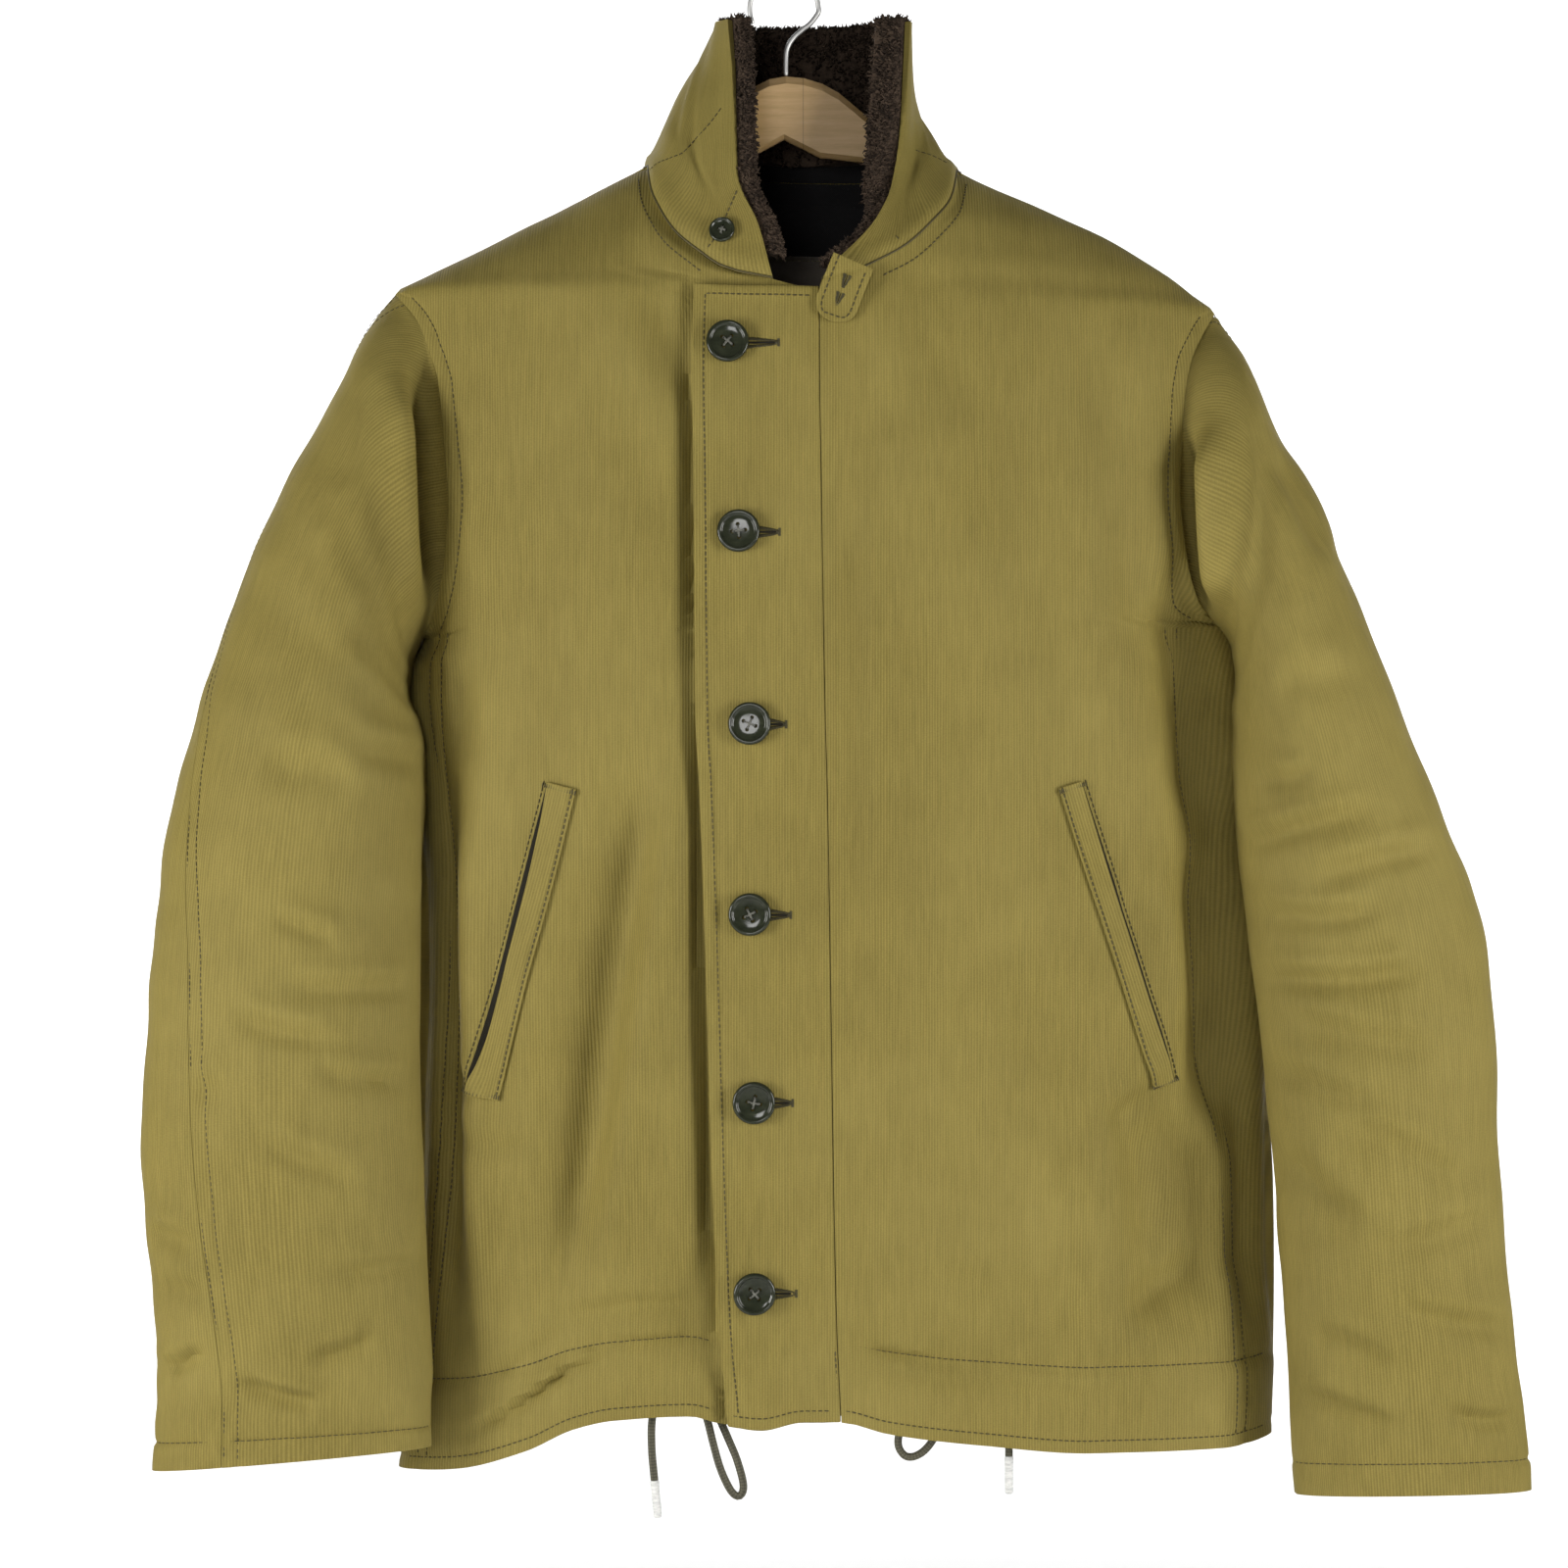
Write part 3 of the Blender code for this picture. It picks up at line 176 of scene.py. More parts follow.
SLEEVE_MINUS = Table(
    SLEEVE_COLUMNS,
    (
        (0, -213, -174, -199, -363, 50, 0, 0),
        (1, -226, -190, -201.5, -371, 62, -3, 0),
        (2, -244, -228, -203, -381, 70, -8, 0),
        (3, -267, -271, -204, -393, 72, -14, 0),
        (4, -287, -314, -204, -409, 70, -20, 5),
        (5, -303, -360, -203.5, -429, 67, -27, 16),
        (6, -317, -402, -203, -453, 63, -33, 28),
        (7, -328, -447, -202, -480, 59, -38, 37),
        (8, -336, -495, -201, -511, 55, -44, 45),
        (9, -339, -532, -199, -548, 51, -50, 50),
        (10, -342, -574, -197, -584, 48, -54, 53),
        (11, -344, -627, -194, -632, 44, -58, 56),
        (12, -342, -674, -192, -676, 40, -60, 58),
        (13, -338, -716, -190, -716, 35, -62, 60),
        (14, -335, -758, -188, -755, 29, -63, 62),
        (15, -336, -783, -189, -777, 24, -63, 63),
        (16, -337, -809, -189, -796, 19, -63, 63),
    ),
)
SLEEVE_PLUS = Table(
    SLEEVE_COLUMNS,
    (
        (0, 236, -184, 239, -358, 50, 0, 0),
        (1, 243, -195, 242, -366, 62, -3, -4),
        (2, 256, -221, 243.5, -376, 68, -8, -8),
        (3, 272, -258, 244, -389, 68, -13, -12),
        (4, 291, -295, 245, -405, 66, -18, -16),
        (5, 308, -336, 247, -425, 63, -23, -20),
        (6, 324, -378, 249, -448, 60, -28, -22),
        (7, 341, -422, 250.5, -475, 56, -32, -24),
        (8, 358, -464, 252, -505, 52, -36, -25),
        (9, 371, -498, 254, -540, 49, -40, -25),
        (10, 379, -535, 257, -577, 46, -44, -25),
        (11, 383, -595, 261, -622, 42, -48, -25),
        (12, 385, -653, 265, -667, 38, -50, -25),
        (13, 389, -711, 268.5, -716, 33, -51, -25),
        (14, 395, -754, 271, -759, 28, -51, -25),
        (15, 399, -791, 272.5, -793, 23, -51, -25),
        (16, 401, -821, 275, -823, 19, -51, -25),
    ),
)
SLEEVE_SECTIONS, SLEEVE_ROUNDNESS, SLEEVE_HEAD = 16, 2.2, 1.6
COLLAR = Table(
    ("height", "minus_x", "plus_x", "front", "back", "minus_end", "plus_end"),
    (
        (0, -77, 97, 75, 54, -6, 28),
        (0.2, -69, 84, 73, 53, -14, 47),
        (0.4, -62, 76, 69, 52, -26, 60),
        (0.6, -54, 72.5, 63, 51, -27, 65),
        (0.8, -45, 71, 57, 50, -28, 67),
        (1, -38, 70.5, 51, 50, -30.5, 68.5),
    ),
)
COLLAR_ROUNDNESS = 2.3
COLLAR_TOP_FRONT, COLLAR_TOP_BACK = -28.0, -24.0
COLLAR_BASE_BLEND = 0.25
NECK_AIM = np.array((9.0, 0.0, -60.0))

BUTTONS = ((-30, -207), (-24, -308), (-18, -410), (-18, -511), (-16, -611), (-16, -713))
COLLAR_BUTTON = (-33, -147)
WELTS = {
    "right": ((-118.5, -442.5), (-160.5, -609.5), 18, -1),
    "left": ((152.5, -442), (204.5, -604), 14.5, 1),
}
STRAP_LINE = ((37, -164), (31, -178), (25, -196))
STRAP_WIDTH, STRAP_THICKNESS = 23.0, 2.4

# The solids' long folds: x1, z1, x2, z2, width and depth
FRONT_FOLDS = (
    (-66, -160, -150, -300, 16, 3),
    (28, -260, 36, -560, 15, 3.5),
    (168, -190, 176, -320, 12, 3),
    (-84, -430, -118, -680, 20, 5),
    (178, -580, 214, -700, 16, 5),
    (128, -560, 110, -740, 22, 3.5),
    (-150, -330, -172, -520, 16, 4),
    (196, -340, 214, -500, 16, 4),
)
BACK_FOLDS = (
    (-60, -180, -150, -330, 18, 3.5),
    (90, -190, 180, -340, 18, 3.5),
    (10, -300, -6, -640, 20, 4),
    (-110, -470, -130, -720, 18, 4),
    (120, -450, 150, -700, 18, 4.5),
)

# Creases in the front view: three points of a bent line, X and Z, then width and depth; a ridge is negative
FRONT_CREASES = (
    (-52, -187, -50, -286, -49, -390, 5, 2.5),
    (-48, -390, -46, -598, -36, -771, 3.4, 4),
    (-50, -690, -58, -742, -48, -777, 15, 4.2),
    (-57, -421, -56, -588, -52, -723, 8, -1.6),
    (-71, -415, -90, -545, -126, -752, 12, 6.8),
    (-127, -484, -136, -608, -146, -702, 16, -2.6),
    (-189, -385, -184, -588, -181, -749, 10, 9),
    (-172, -359, -176, -421, -174, -494, 10, 3),
    (-181, -590, -172, -601, -166, -616, 5, 1.6),
    (-179, -629, -156, -640, -135, -638, 7, 1.2),
    (-174, -776, -140, -775, -106, -755, 3.2, 2.4),
    (-156, -771, -125, -764, -87, -756, 3, 1.8),
    (-88, -751, -75, -753, -52, -750, 4, 1.6),
    (-125, -734, -84, -724, -43, -731, 6, 2),
    (-166, -754, -135, -746, -117, -736, 5, 1.4),
    (-83, -146, -69, -182, -57, -244, 9, 2.2),
    (-104, -198, -83, -244, -69, -317, 14, 1.6),
    (-172, -198, -156, -244, -158, -317, 14, 1.8),
    (-146, -338, -140, -411, -144, -473, 20, 1.6),
    (32, -250, 35, -390, 32, -546, 9, 2.8),
    (29, -546, 32, -624, 42, -723, 9, 2.2),
    (53, -359, 55, -494, 48, -624, 18, -1.8),
    (35, -182, 44, -234, 42, -296, 10, 1.8),
    (68, -156, 83, -198, 99, -260, 14, 1.4),
    (130, -224, 140, -296, 135, -390, 16, 1.8),
    (182, -213, 191, -296, 187, -385, 12, 2.4),
    (206, -317, 219, -400, 229, -484, 13, 8),
    (227, -463, 232, -546, 234, -629, 12, 8),
    (199, -603, 207, -671, 197, -744, 20, 8.5),
    (223, -614, 228, -681, 223, -744, 12, 6),
    (173, -625, 187, -618, 211, -594, 6, 2.4),
    (182, -725, 208, -711, 231, -697, 8, 2.6),
    (135, -640, 156, -681, 151, -738, 14, 1.8),
    (68, -712, 125, -707, 166, -720, 9, 1.4),
    (177, -494, 198, -525, 208, -577, 10, 1.6),
    (36, -746, 68, -753, 104, -754, 3, 1.4),
    (109, -763, 146, -766, 182, -764, 4, 1.4),
    (52, -764, 83, -770, 109, -767, 4, 1.2),
    (-31, -671, -5, -677, 16, -671, 7, 0.9),
    (-29, -551, -5, -546, 18, -551, 8, 0.8),
    (-30, -458, -10, -452, 14, -462, 8, 0.8),
)
SLEEVE_FRONT_CREASES = (
    (-195, -204, -186, -271, -189, -349, 8, 9),
    (-206, -219, -201, -287, -201, -359, 11, -4.5),
    (-221, -220, -227, -263, -239, -287, 9, 1.8),
    (-272, -511, -249, -521, -236, -524, 5, 1.4),
    (-291, -564, -266, -577, -232, -577, 6, 2),
    (-268, -549, -224, -553, -196, -549, 6, 1.8),
    (-249, -591, -224, -602, -196, -598, 5, 1.8),
    (-279, -627, -253, -644, -224, -650, 6, 2),
    (-244, -701, -215, -701, -190, -693, 5, 1.8),
    (-253, -750, -232, -741, -215, -735, 5, 2.4),
    (-291, -756, -272, -769, -242, -771, 5, 2.6),
    (-327, -756, -321, -748, -304, -742, 5, 2.8),
    (-337, -680, -329, -681, -311, -688, 6, 2.4),
    (-331, -707, -319, -712, -303, -711, 6, 1.8),
    (-227, -427, -209, -424, -195, -433, 7, 1.5),
    (-277, -431, -252, -437, -227, -435, 9, 1.3),
    (-259, -359, -238, -370, -207, -359, 12, 1.2),
    (-321, -597, -311, -608, -290, -603, 8, 1.6),
    (218, -247, 213, -306, 228, -353, 8, 8),
    (231, -240, 229, -302, 241, -359, 11, -4.5),
    (262, -260, 279, -293, 290, -323, 6, 2),
    (245, -476, 275, -464, 317, -455, 6, 2.2),
    (251, -438, 266, -443, 283, -434, 5, 1.6),
    (279, -493, 313, -481, 351, -476, 6, 2),
    (249, -510, 292, -519, 317, -506, 6, 2.4),
    (249, -545, 309, -549, 339, -540, 6, 2.8),
    (262, -566, 309, -579, 347, -583, 7, 2.4),
    (258, -587, 279, -608, 322, -612, 6, 2.4),
    (292, -621, 326, -634, 364, -655, 7, 2.2),
    (262, -634, 283, -664, 309, -681, 8, 2.6),
    (309, -693, 351, -681, 381, -672, 7, 2),
    (322, -719, 360, -732, 389, -732, 6, 2.4),
    (275, -736, 309, -740, 322, -757, 7, 2.4),
    (270, -766, 300, -774, 330, -787, 5, 2.4),
    (351, -774, 372, -787, 394, -779, 5, 2.4),
    (259, -385, 280, -390, 306, -380, 9, 1.4),
)
BACK_CREASES = (
    (-40, -130, -70, -190, -150, -230, 12, 1.8),
    (70, -130, 110, -190, 184, -236, 12, 1.8),
    (-186, -340, -140, -380, -110, -460, 12, 2.4),
    (220, -345, 180, -390, 150, -470, 12, 2.4),
    (-60, -300, -66, -420, -50, -560, 16, 1.8),
    (70, -320, 82, -440, 66, -580, 15, 1.8),
    (-150, -520, -140, -640, -156, -750, 12, 2.6),
    (196, -520, 188, -640, 206, -750, 12, 2.6),
    (-30, -560, -40, -660, -26, -748, 11, 2),
    (60, -580, 52, -670, 64, -748, 11, 2),
    (-100, -150, -20, -172, 60, -160, 12, 1),
    (-190, -690, -150, -706, -110, -700, 9, 1.6),
    (120, -700, 170, -712, 224, -698, 9, 1.6),
)

# Creases behind the sleeves: section and angle of three points, then width and depth
SLEEVE_BACK_CREASES = (
    (2, 202, 3.4, 238, 5.4, 264, 11, 3),
    (0.6, 300, 1.8, 280, 3.6, 268, 11, 2.4),
    (5.2, 210, 6, 250, 6.2, 300, 10, 2.6),
    (6.2, 328, 7, 278, 7.3, 228, 10, 2.8),
    (7.6, 206, 8.2, 244, 8.1, 282, 8, 2.6),
    (8.4, 212, 9, 262, 8.7, 311, 9, 2.6),
    (9.6, 206, 10, 240, 10.1, 286, 9, 2),
    (11.2, 321, 11.9, 271, 12.2, 222, 11, 2.4),
    (12.4, 204, 13, 238, 13.2, 280, 8, 2.2),
    (13.4, 222, 14, 264, 13.8, 311, 8, 2.6),
    (14.2, 204, 14.7, 240, 14.8, 290, 7, 2.2),
)

FRONT_STRENGTH, SLEEVE_STRENGTH = 1.45, 2.1

# Rows of stitches: how far each lies from its seam or edge, in millimetres
ARMHOLE_STITCH, EDGE_STITCH, SEAM_STITCH, TOP_STITCH = 7.0, 6.3, 1.4, 5.5

# The soft groove beside the placket and the shaded hollows at the body's sides: depth and width
PLACKET_GROOVE = (3.4, 4.4)
HOLLOW_MINUS, HOLLOW_PLUS, HOLLOW_LOW = (6.0, 9.0), (11.0, 24.0), (10.0, 34.0)

# How far the body's sides swell beyond the solid, and how far each sleeve leans on the body
SIDE_SWELL = Table(
    ("level", "minus", "plus"),
    ((-97, 0, 0), (ARM_BASE, 0, 0), (-375, 8, 6), (-400, 10, 7), (-442, 7, 6),
     (-500, 2, 7.5), (-550, 0, 8), (-603, 0, 7.5), (-657, 0, 6), (-754, 0, 2),
     (-803, 0, 0)),
)
SLEEVE_LEAN = Table(
    ("section", "minus", "plus"),
    ((0, 0, 0), (3, 0, 0), (4, 6.5, 2), (5, 9, 4), (6, 9, 5), (7, 6.5, 5), (8, 5.5, 3.5),
     (9, 3.5, 1.5), (10, 1.5, 0), (11, 0, 0), (16, 0, 0)),
)

CORD_ROUTES = {
    "right": (
        (-52, -61.5, -762), (-49.5, -56, -764), (-45, -55.5, -772), (-41, -55, -784), (-38, -55, -796),
        (-34, -54, -810), (-28.5, -53.5, -821.5), (-24, -53, -824.5), (-21.8, -52.5, -819),
        (-25, -52, -806), (-30, -51, -794), (-35, -50, -783), (-42, -48.5, -771), (-52, -48, -763.5),
        (-62, -49, -765), (-68.5, -51, -773), (-71, -52, -785), (-71, -52.5, -800), (-69.6, -52.5, -816),
    ),
    "left": (
        (84, -58, -764), (81.5, -53, -766), (74, -52.5, -772), (66.5, -52, -781), (62, -52, -791),
        (61.6, -51.5, -798), (65, -51, -803), (70, -50.5, -803.5), (76, -49.5, -800), (82, -48.5, -792),
        (89, -46, -779), (99, -45, -769), (110, -46, -767), (118, -48, -775), (120.8, -49, -787),
        (121, -49.5, -803.5),
    ),
}


# Small helpers

def ease(t):
    t = np.clip(t, 0.0, 1.0)
    return t * t * (3.0 - 2.0 * t)


def signed_power(value, power):
    return np.sign(value) * np.abs(value) ** power


def unit(vectors):
    return vectors / np.maximum(np.linalg.norm(vectors, axis=-1, keepdims=True), 1e-9)


def mix(a, b, t):
    return a + (b - a) * t


def waviness(a, b, seed, size):
    """Low uneven swells of the cloth over two lengths in millimetres."""
    rng = np.random.default_rng(seed)
    total = np.zeros(np.broadcast(a, b).shape)
    for _ in range(9):
        turn = rng.uniform(0.0, math.pi)
        wave = rng.uniform(38.0, 130.0)
        shift = rng.uniform(0.0, 2.0 * math.pi)
        total += np.sin((a * math.cos(turn) * 1.4 + b * math.sin(turn) * 0.7) * 2.0 * math.pi / wave + shift)
    return total * size / 3.0


def crease_relief(a, b, creases):
    """Troughs with a soft shoulder along bent lines, in the plane of a and b."""
    total = np.zeros(np.broadcast(a, b).shape)
    steps = np.linspace(0.0, 1.0, 25)
    for a1, b1, a2, b2, a3, b3, width, depth in creases:
        reach = 3.2 * width
        near = (
            (a > min(a1, a2, a3) - reach) & (a < max(a1, a2, a3) + reach)
            & (b > min(b1, b2, b3) - reach) & (b < max(b1, b2, b3) + reach)
        )
        if not near.any():
            continue
        la = (1 - steps) ** 2 * a1 + 2 * steps * (1 - steps) * a2 + steps ** 2 * a3
        lb = (1 - steps) ** 2 * b1 + 2 * steps * (1 - steps) * b2 + steps ** 2 * b3
        da, db = np.diff(la), np.diff(lb)
        pa, pb = a[near][:, None] - la[:-1], b[near][:, None] - lb[:-1]
        part = np.clip((pa * da + pb * db) / (da ** 2 + db ** 2), 0.0, 1.0)
        distance = np.hypot(pa - part * da, pb - part * db)
        k = distance.argmin(axis=1)
        row = np.arange(len(k))
        d, along = distance[row, k], (k + part[row, k]) / 24.0
        side = np.sign(da[k] * pb[row, k] - db[k] * pa[row, k])
        end = np.minimum(along, 1.0 - along)
        swell = ease(end / 0.3 + 0.08)
        beyond = (along <= 0.0) | (along >= 1.0)
        fade = np.where(beyond, np.exp(-(d / (1.3 * width)) ** 2), 1.0)
        signed = d * side
        shape = -np.exp(-(signed / width) ** 2) + 0.55 * np.exp(-((signed - 1.7 * width) / width) ** 2)
        total[near] += depth * swell * fade * shape
    return total


# The body's form, as in the solids

def fold_depth(folds, x, z):
    total = np.zeros(np.broadcast(x, z).shape)
    for x1, z1, x2, z2, width, depth in folds:
        along_x, along_z = x2 - x1, z2 - z1
        length = math.hypot(along_x, along_z)
        t = ((x - x1) * along_x + (z - z1) * along_z) / length ** 2
        across = ((x - x1) * along_z - (z - z1) * along_x) / length
        swell = ease((t + 0.2) / 0.5) * ease((1.2 - t) / 0.5)
        total = total + np.where((t > -0.2) & (t < 1.2), depth * swell * np.exp(-(across / width) ** 2), 0.0)
    return total


def body_point(level, angle):
    level, angle = np.broadcast_arrays(np.asarray(level, float), np.asarray(angle, float))
    minus_x, plus_x = TORSO.at("minus_x", level), TORSO.at("plus_x", level)
    power = 2.0 / TORSO.at("roundness", level)
    cosine, sine = np.cos(angle), np.sin(angle)
    x = 0.5 * (minus_x + plus_x) + 0.5 * (plus_x - minus_x) * signed_power(cosine, power)
    x = x + SIDE_SWELL.at("plus", level) * np.maximum(cosine, 0.0) ** 6
    x = x - SIDE_SWELL.at("minus", level) * np.maximum(-cosine, 0.0) ** 6
    depth = np.where(sine > 0.0, TORSO.at("back", level), TORSO.at("front", level))
    y = depth * signed_power(sine, power)
    weight = ease((HEM_DROP_START - level) / (HEM_DROP_START - HEM))
    drop = HEM_DROP.at("drop", x) * np.where(sine > 0.0, 1.0 - ease(sine), 1.0)
    z = level + TILT.at("slope", level) * (x - TILT_CENTRE) - weight * drop
    folds = np.where(sine < 0.0, fold_depth(FRONT_FOLDS, x, level), fold_depth(BACK_FOLDS, x, level))
    y = y - signed_power(sine, 0.5) * folds
    return np.stack((x, y, z), axis=-1)


def body_normal(level, angle):
    around = body_point(level, angle + 0.02) - body_point(level, angle - 0.02)
    down = body_point(level - 1.5, angle) - body_point(level + 1.5, angle)
    return unit(np.cross(down, around))


def body_angle(level, x, front=True):
    minus_x, plus_x = TORSO.at("minus_x", level), TORSO.at("plus_x", level)
    share = np.clip((x - 0.5 * (minus_x + plus_x)) / (0.5 * (plus_x - minus_x)), -1.0, 1.0)
    angle = np.arccos(signed_power(share, TORSO.at("roundness", level) / 2.0))
    return 2.0 * math.pi - angle if front else angle


def armhole_angle(level, side, front=True):
    ridge = math.pi if side < 0 else (2.0 * math.pi if front else 0.0)
    table = ARMHOLE_MINUS if side < 0 else ARMHOLE_PLUS
    x = table.at("x", level)
    if not front:
        x = mix(TORSO.at("minus_x" if side < 0 else "plus_x", level), x, BACK_ARMHOLE_DEPTH)
    inside = (level < ARM_TOP) & (level > ARM_BASE)
    return np.where(inside, body_angle(level, x, front), ridge)


def neck_or(table, below, level):
    return body_angle(level, np.where(level >= NECK_BASE, table.at("x", level), below))


def right_inner_angle(level):
    return neck_or(NECKLINE_MINUS, UNDERLAP_EDGE, level)


def left_inner_angle(level):
    return neck_or(NECKLINE_PLUS, PLACKET.at("seam", level), level)


def underlap_press(x, level):
    return TUCK * ease((x - PLACKET.at("edge", level) + TUCK_RUN) / TUCK_RUN)


def hem_relief(level, x):
    """The turned hem: a slightly raised band, gathered a little by its cord."""
    band = ease((HEM_BAND - level) / 5.0)
    ditch = np.exp(-((level - HEM_BAND) / 2.2) ** 2) + 0.8 * np.exp(-((level - HEM_STITCH) / 1.8) ** 2)
    gather = np.sin(x / 6.1 + 1.3 * np.sin(x / 23.0)) * np.exp(-((level - HEM_BAND + 6.0) / 13.0) ** 2)
    pull = np.sin(x / 9.7 + 2.0 * np.sin(x / 31.0)) * np.exp(-((level - HEM_STITCH - 14.0) / 12.0) ** 2)
    return 1.1 * band - 0.9 * ditch + 0.45 * gather + 0.55 * pull


def dip(distance, width):
    """1 on a line, falling softly to nothing beside it."""
    return np.exp(-(distance / width) ** 2)


def seam_relief(distance, along, reach=10.0):
    """A ditch on a row of stitches with faint puckers beside it."""
    pucker = np.sin(along / 2.6 + 1.7 * np.sin(along / 11.0)) * dip(distance, reach)
    return -dip(distance, 2.5) + (0.16 + 0.10 * np.sin(along / 37.0)) * pucker


def side_hollows(x, level):
    """How deep the cloth falls in at the body's sides, below the arms and above the hem band."""
    plus = TORSO.at("plus_x", level)
    from_plus = plus + SIDE_SWELL.at("plus", level) - x
    deep = ease((ARM_BASE + 70.0 - level) / 120.0) * ease((level - HEM_BAND + 10.0) / 70.0)
    near_minus = HOLLOW_MINUS[0] * dip(x - TORSO.at("minus_x", level) + 1.0, HOLLOW_MINUS[1])
    near_plus = HOLLOW_PLUS[0] * dip(from_plus - 14.0, HOLLOW_PLUS[1]) * ease((from_plus + 1.0) / 15.0)
    low = HOLLOW_LOW[0] * ease((-540.0 - level) / 110.0) * dip(plus - 24.0 - x, HOLLOW_LOW[1])
    return deep * (near_minus + near_plus + low)


def front_relief(x, level):
    """Everything that the front's cloth does beyond the solids' form, outwards in millimetres."""
    total = FRONT_STRENGTH * crease_relief(x, level, FRONT_CREASES) + waviness(x, level, 3, 0.42)
    total = total + hem_relief(level, x)
    armhole = (level < ARM_TOP) & (level > ARM_BASE)
    below = np.where(level <= ARM_BASE, 1.0, 0.0)
    minus = np.where(armhole, ARMHOLE_MINUS.at("x", level), TORSO.at("minus_x", level) + 3.0 * below)
    plus = np.where(armhole, ARMHOLE_PLUS.at("x", level), TORSO.at("plus_x", level) - 10.0 * below)
    edge, seam = PLACKET.at("edge", level), PLACKET.at("seam", level)
    strip = level < PLACKET_TOP
    for where, relief in (
        (level < ARM_TOP, seam_relief(x - minus - ARMHOLE_STITCH, level)),
        (level < ARM_TOP, seam_relief(plus - ARMHOLE_STITCH - x, level + 40.0)),
        (strip, seam_relief(x - seam + 1.0, level, 7.0)),
        (strip & (x > edge), seam_relief(x - edge - EDGE_STITCH, level - 9.0, 6.0)),
        (strip & (x < edge + 4.0), -PLACKET_GROOVE[0] * dip(x - edge + 0.3, PLACKET_GROOVE[1])),
        (~strip & (x > edge - 3.0) & (x < seam), -1.4 * dip(level - PLACKET_TOP, 4.0)),
    ):
        total = total + np.where(where, relief, 0.0)
    neck = np.minimum(np.abs(x - NECKLINE_MINUS.at("x", level)), np.abs(x - NECKLINE_PLUS.at("x", level)))
    total = total - np.where(level > NECK_BASE, 1.5 * dip(neck, 5.0), 0.0)
    return total - side_hollows(x, level)


def placket_relief(x, level):
    """The strip's own relief: its free edge stands proud of the front under it."""
    proud = 1.0 - ease((x - PLACKET.at("edge", level) - 1.0) / 8.0)
    top = 1.0 - ease((PLACKET_TOP - level - 1.0) / 7.0)
    return front_relief(x, level) * (1.0 - proud) + 1.2 * np.maximum(proud, top)


def back_relief(x, level):
    total = FRONT_STRENGTH * crease_relief(x, level, BACK_CREASES) + waviness(x, level, 5, 0.42)
    total = total + hem_relief(level, x + 100.0)
    inside_armhole = (level < ARM_TOP) & (level > ARM_BASE)
    for side, table, name in ((-1.0, ARMHOLE_MINUS, "minus_x"), (1.0, ARMHOLE_PLUS, "plus_x")):
        edge = mix(TORSO.at(name, level), table.at("x", level), BACK_ARMHOLE_DEPTH)
        total = total + np.where(inside_armhole, seam_relief(side * (edge - x) - ARMHOLE_STITCH, level), 0.0)
    return total


def edge_hold(rows, columns, sides):
    """How much relief a grid's points take: less at the edges that meet a seam."""
    hold = np.ones((rows, columns))
    across = np.linspace(0.0, 1.0, columns)
    if "first" in sides:
        hold *= ease(across * columns / 3.0)[None, :]
    if "last" in sides:
        hold *= ease((1.0 - across) * columns / 3.0)[None, :]
    return hold


# Meshes

def link_object(name, data):
    made = bpy.data.objects.new(name, data)
    bpy.context.scene.collection.objects.link(made)
    return made


def mesh_object(name, points, faces, item):
    """A smooth mesh of one material from points in millimetres."""
    mesh = bpy.data.meshes.new(name)
    mesh.from_pydata((np.asarray(points).reshape(-1, 3) * MM).tolist(), [], faces)
    mesh.materials.append(item)
    mesh.shade_smooth()
    return link_object(name, mesh)


def grid_object(name, outer, inner, slots, uv):
    """A closed wall between two grids in millimetres, with lengths of cloth as its UV map."""
    rows, columns = outer.shape[:2]
    points = np.concatenate((outer.reshape(-1, 3), inner.reshape(-1, 3))) * MM
    index = np.arange(rows * columns).reshape(rows, columns)
    a, b = index[:-1, :-1].ravel(), index[:-1, 1:].ravel()
    c, d = index[1:, :-1].ravel(), index[1:, 1:].ravel()
    shift = rows * columns
    out = np.stack((a, c, d, b), axis=1)
    back = np.stack((a, b, d, c), axis=1) + shift
    rim = np.concatenate((index[0, :], index[1:, -1], index[-1, -2::-1], index[-2:0:-1, 0]))
    after = np.roll(rim, -1)
    edge = np.stack((rim, after, after + shift, rim + shift), axis=1)
    faces = np.concatenate((out, back, edge))
    mesh = bpy.data.meshes.new(name)
    mesh.vertices.add(len(points))
    mesh.vertices.foreach_set("co", points.ravel())
    mesh.loops.add(faces.size)
    mesh.loops.foreach_set("vertex_index", faces.ravel())
    mesh.polygons.add(len(faces))
    mesh.polygons.foreach_set("loop_start", np.arange(0, faces.size, 4))
    mesh.polygons.foreach_set("loop_total", np.full(len(faces), 4))
    kinds = np.zeros(len(faces), int)
    if len(slots) > 1:
        kinds[len(out):len(out) + len(back)] = 1
    for item in slots:
        mesh.materials.append(item)
    mesh.polygons.foreach_set("material_index", kinds)
    layer = mesh.uv_layers.new(name="cloth")
    flat = np.concatenate((uv.reshape(-1, 2), uv.reshape(-1, 2)))
    layer.data.foreach_set("uv", flat[faces.ravel()].ravel())
    mesh.update(calc_edges=True)
    mesh.validate()
    centre = outer.shape[0] // 2, outer.shape[1] // 2
    normal = np.array(mesh.polygons[int(centre[0] * (columns - 1) + centre[1])].normal)
    if np.dot(normal, outer[centre] - inner[centre]) < 0.0:
        mesh.flip_normals()
    mesh.shade_smooth()
    mesh.set_sharp_from_angle(angle=math.radians(50.0))
    return link_object(name, mesh)


def soften_edges(piece, width):
    bevel = piece.modifiers.new("rolled_edge", "BEVEL")
    bevel.width = width * MM
    bevel.segments = 3
    bevel.limit_method = "ANGLE"
    bevel.angle_limit = math.radians(55.0)


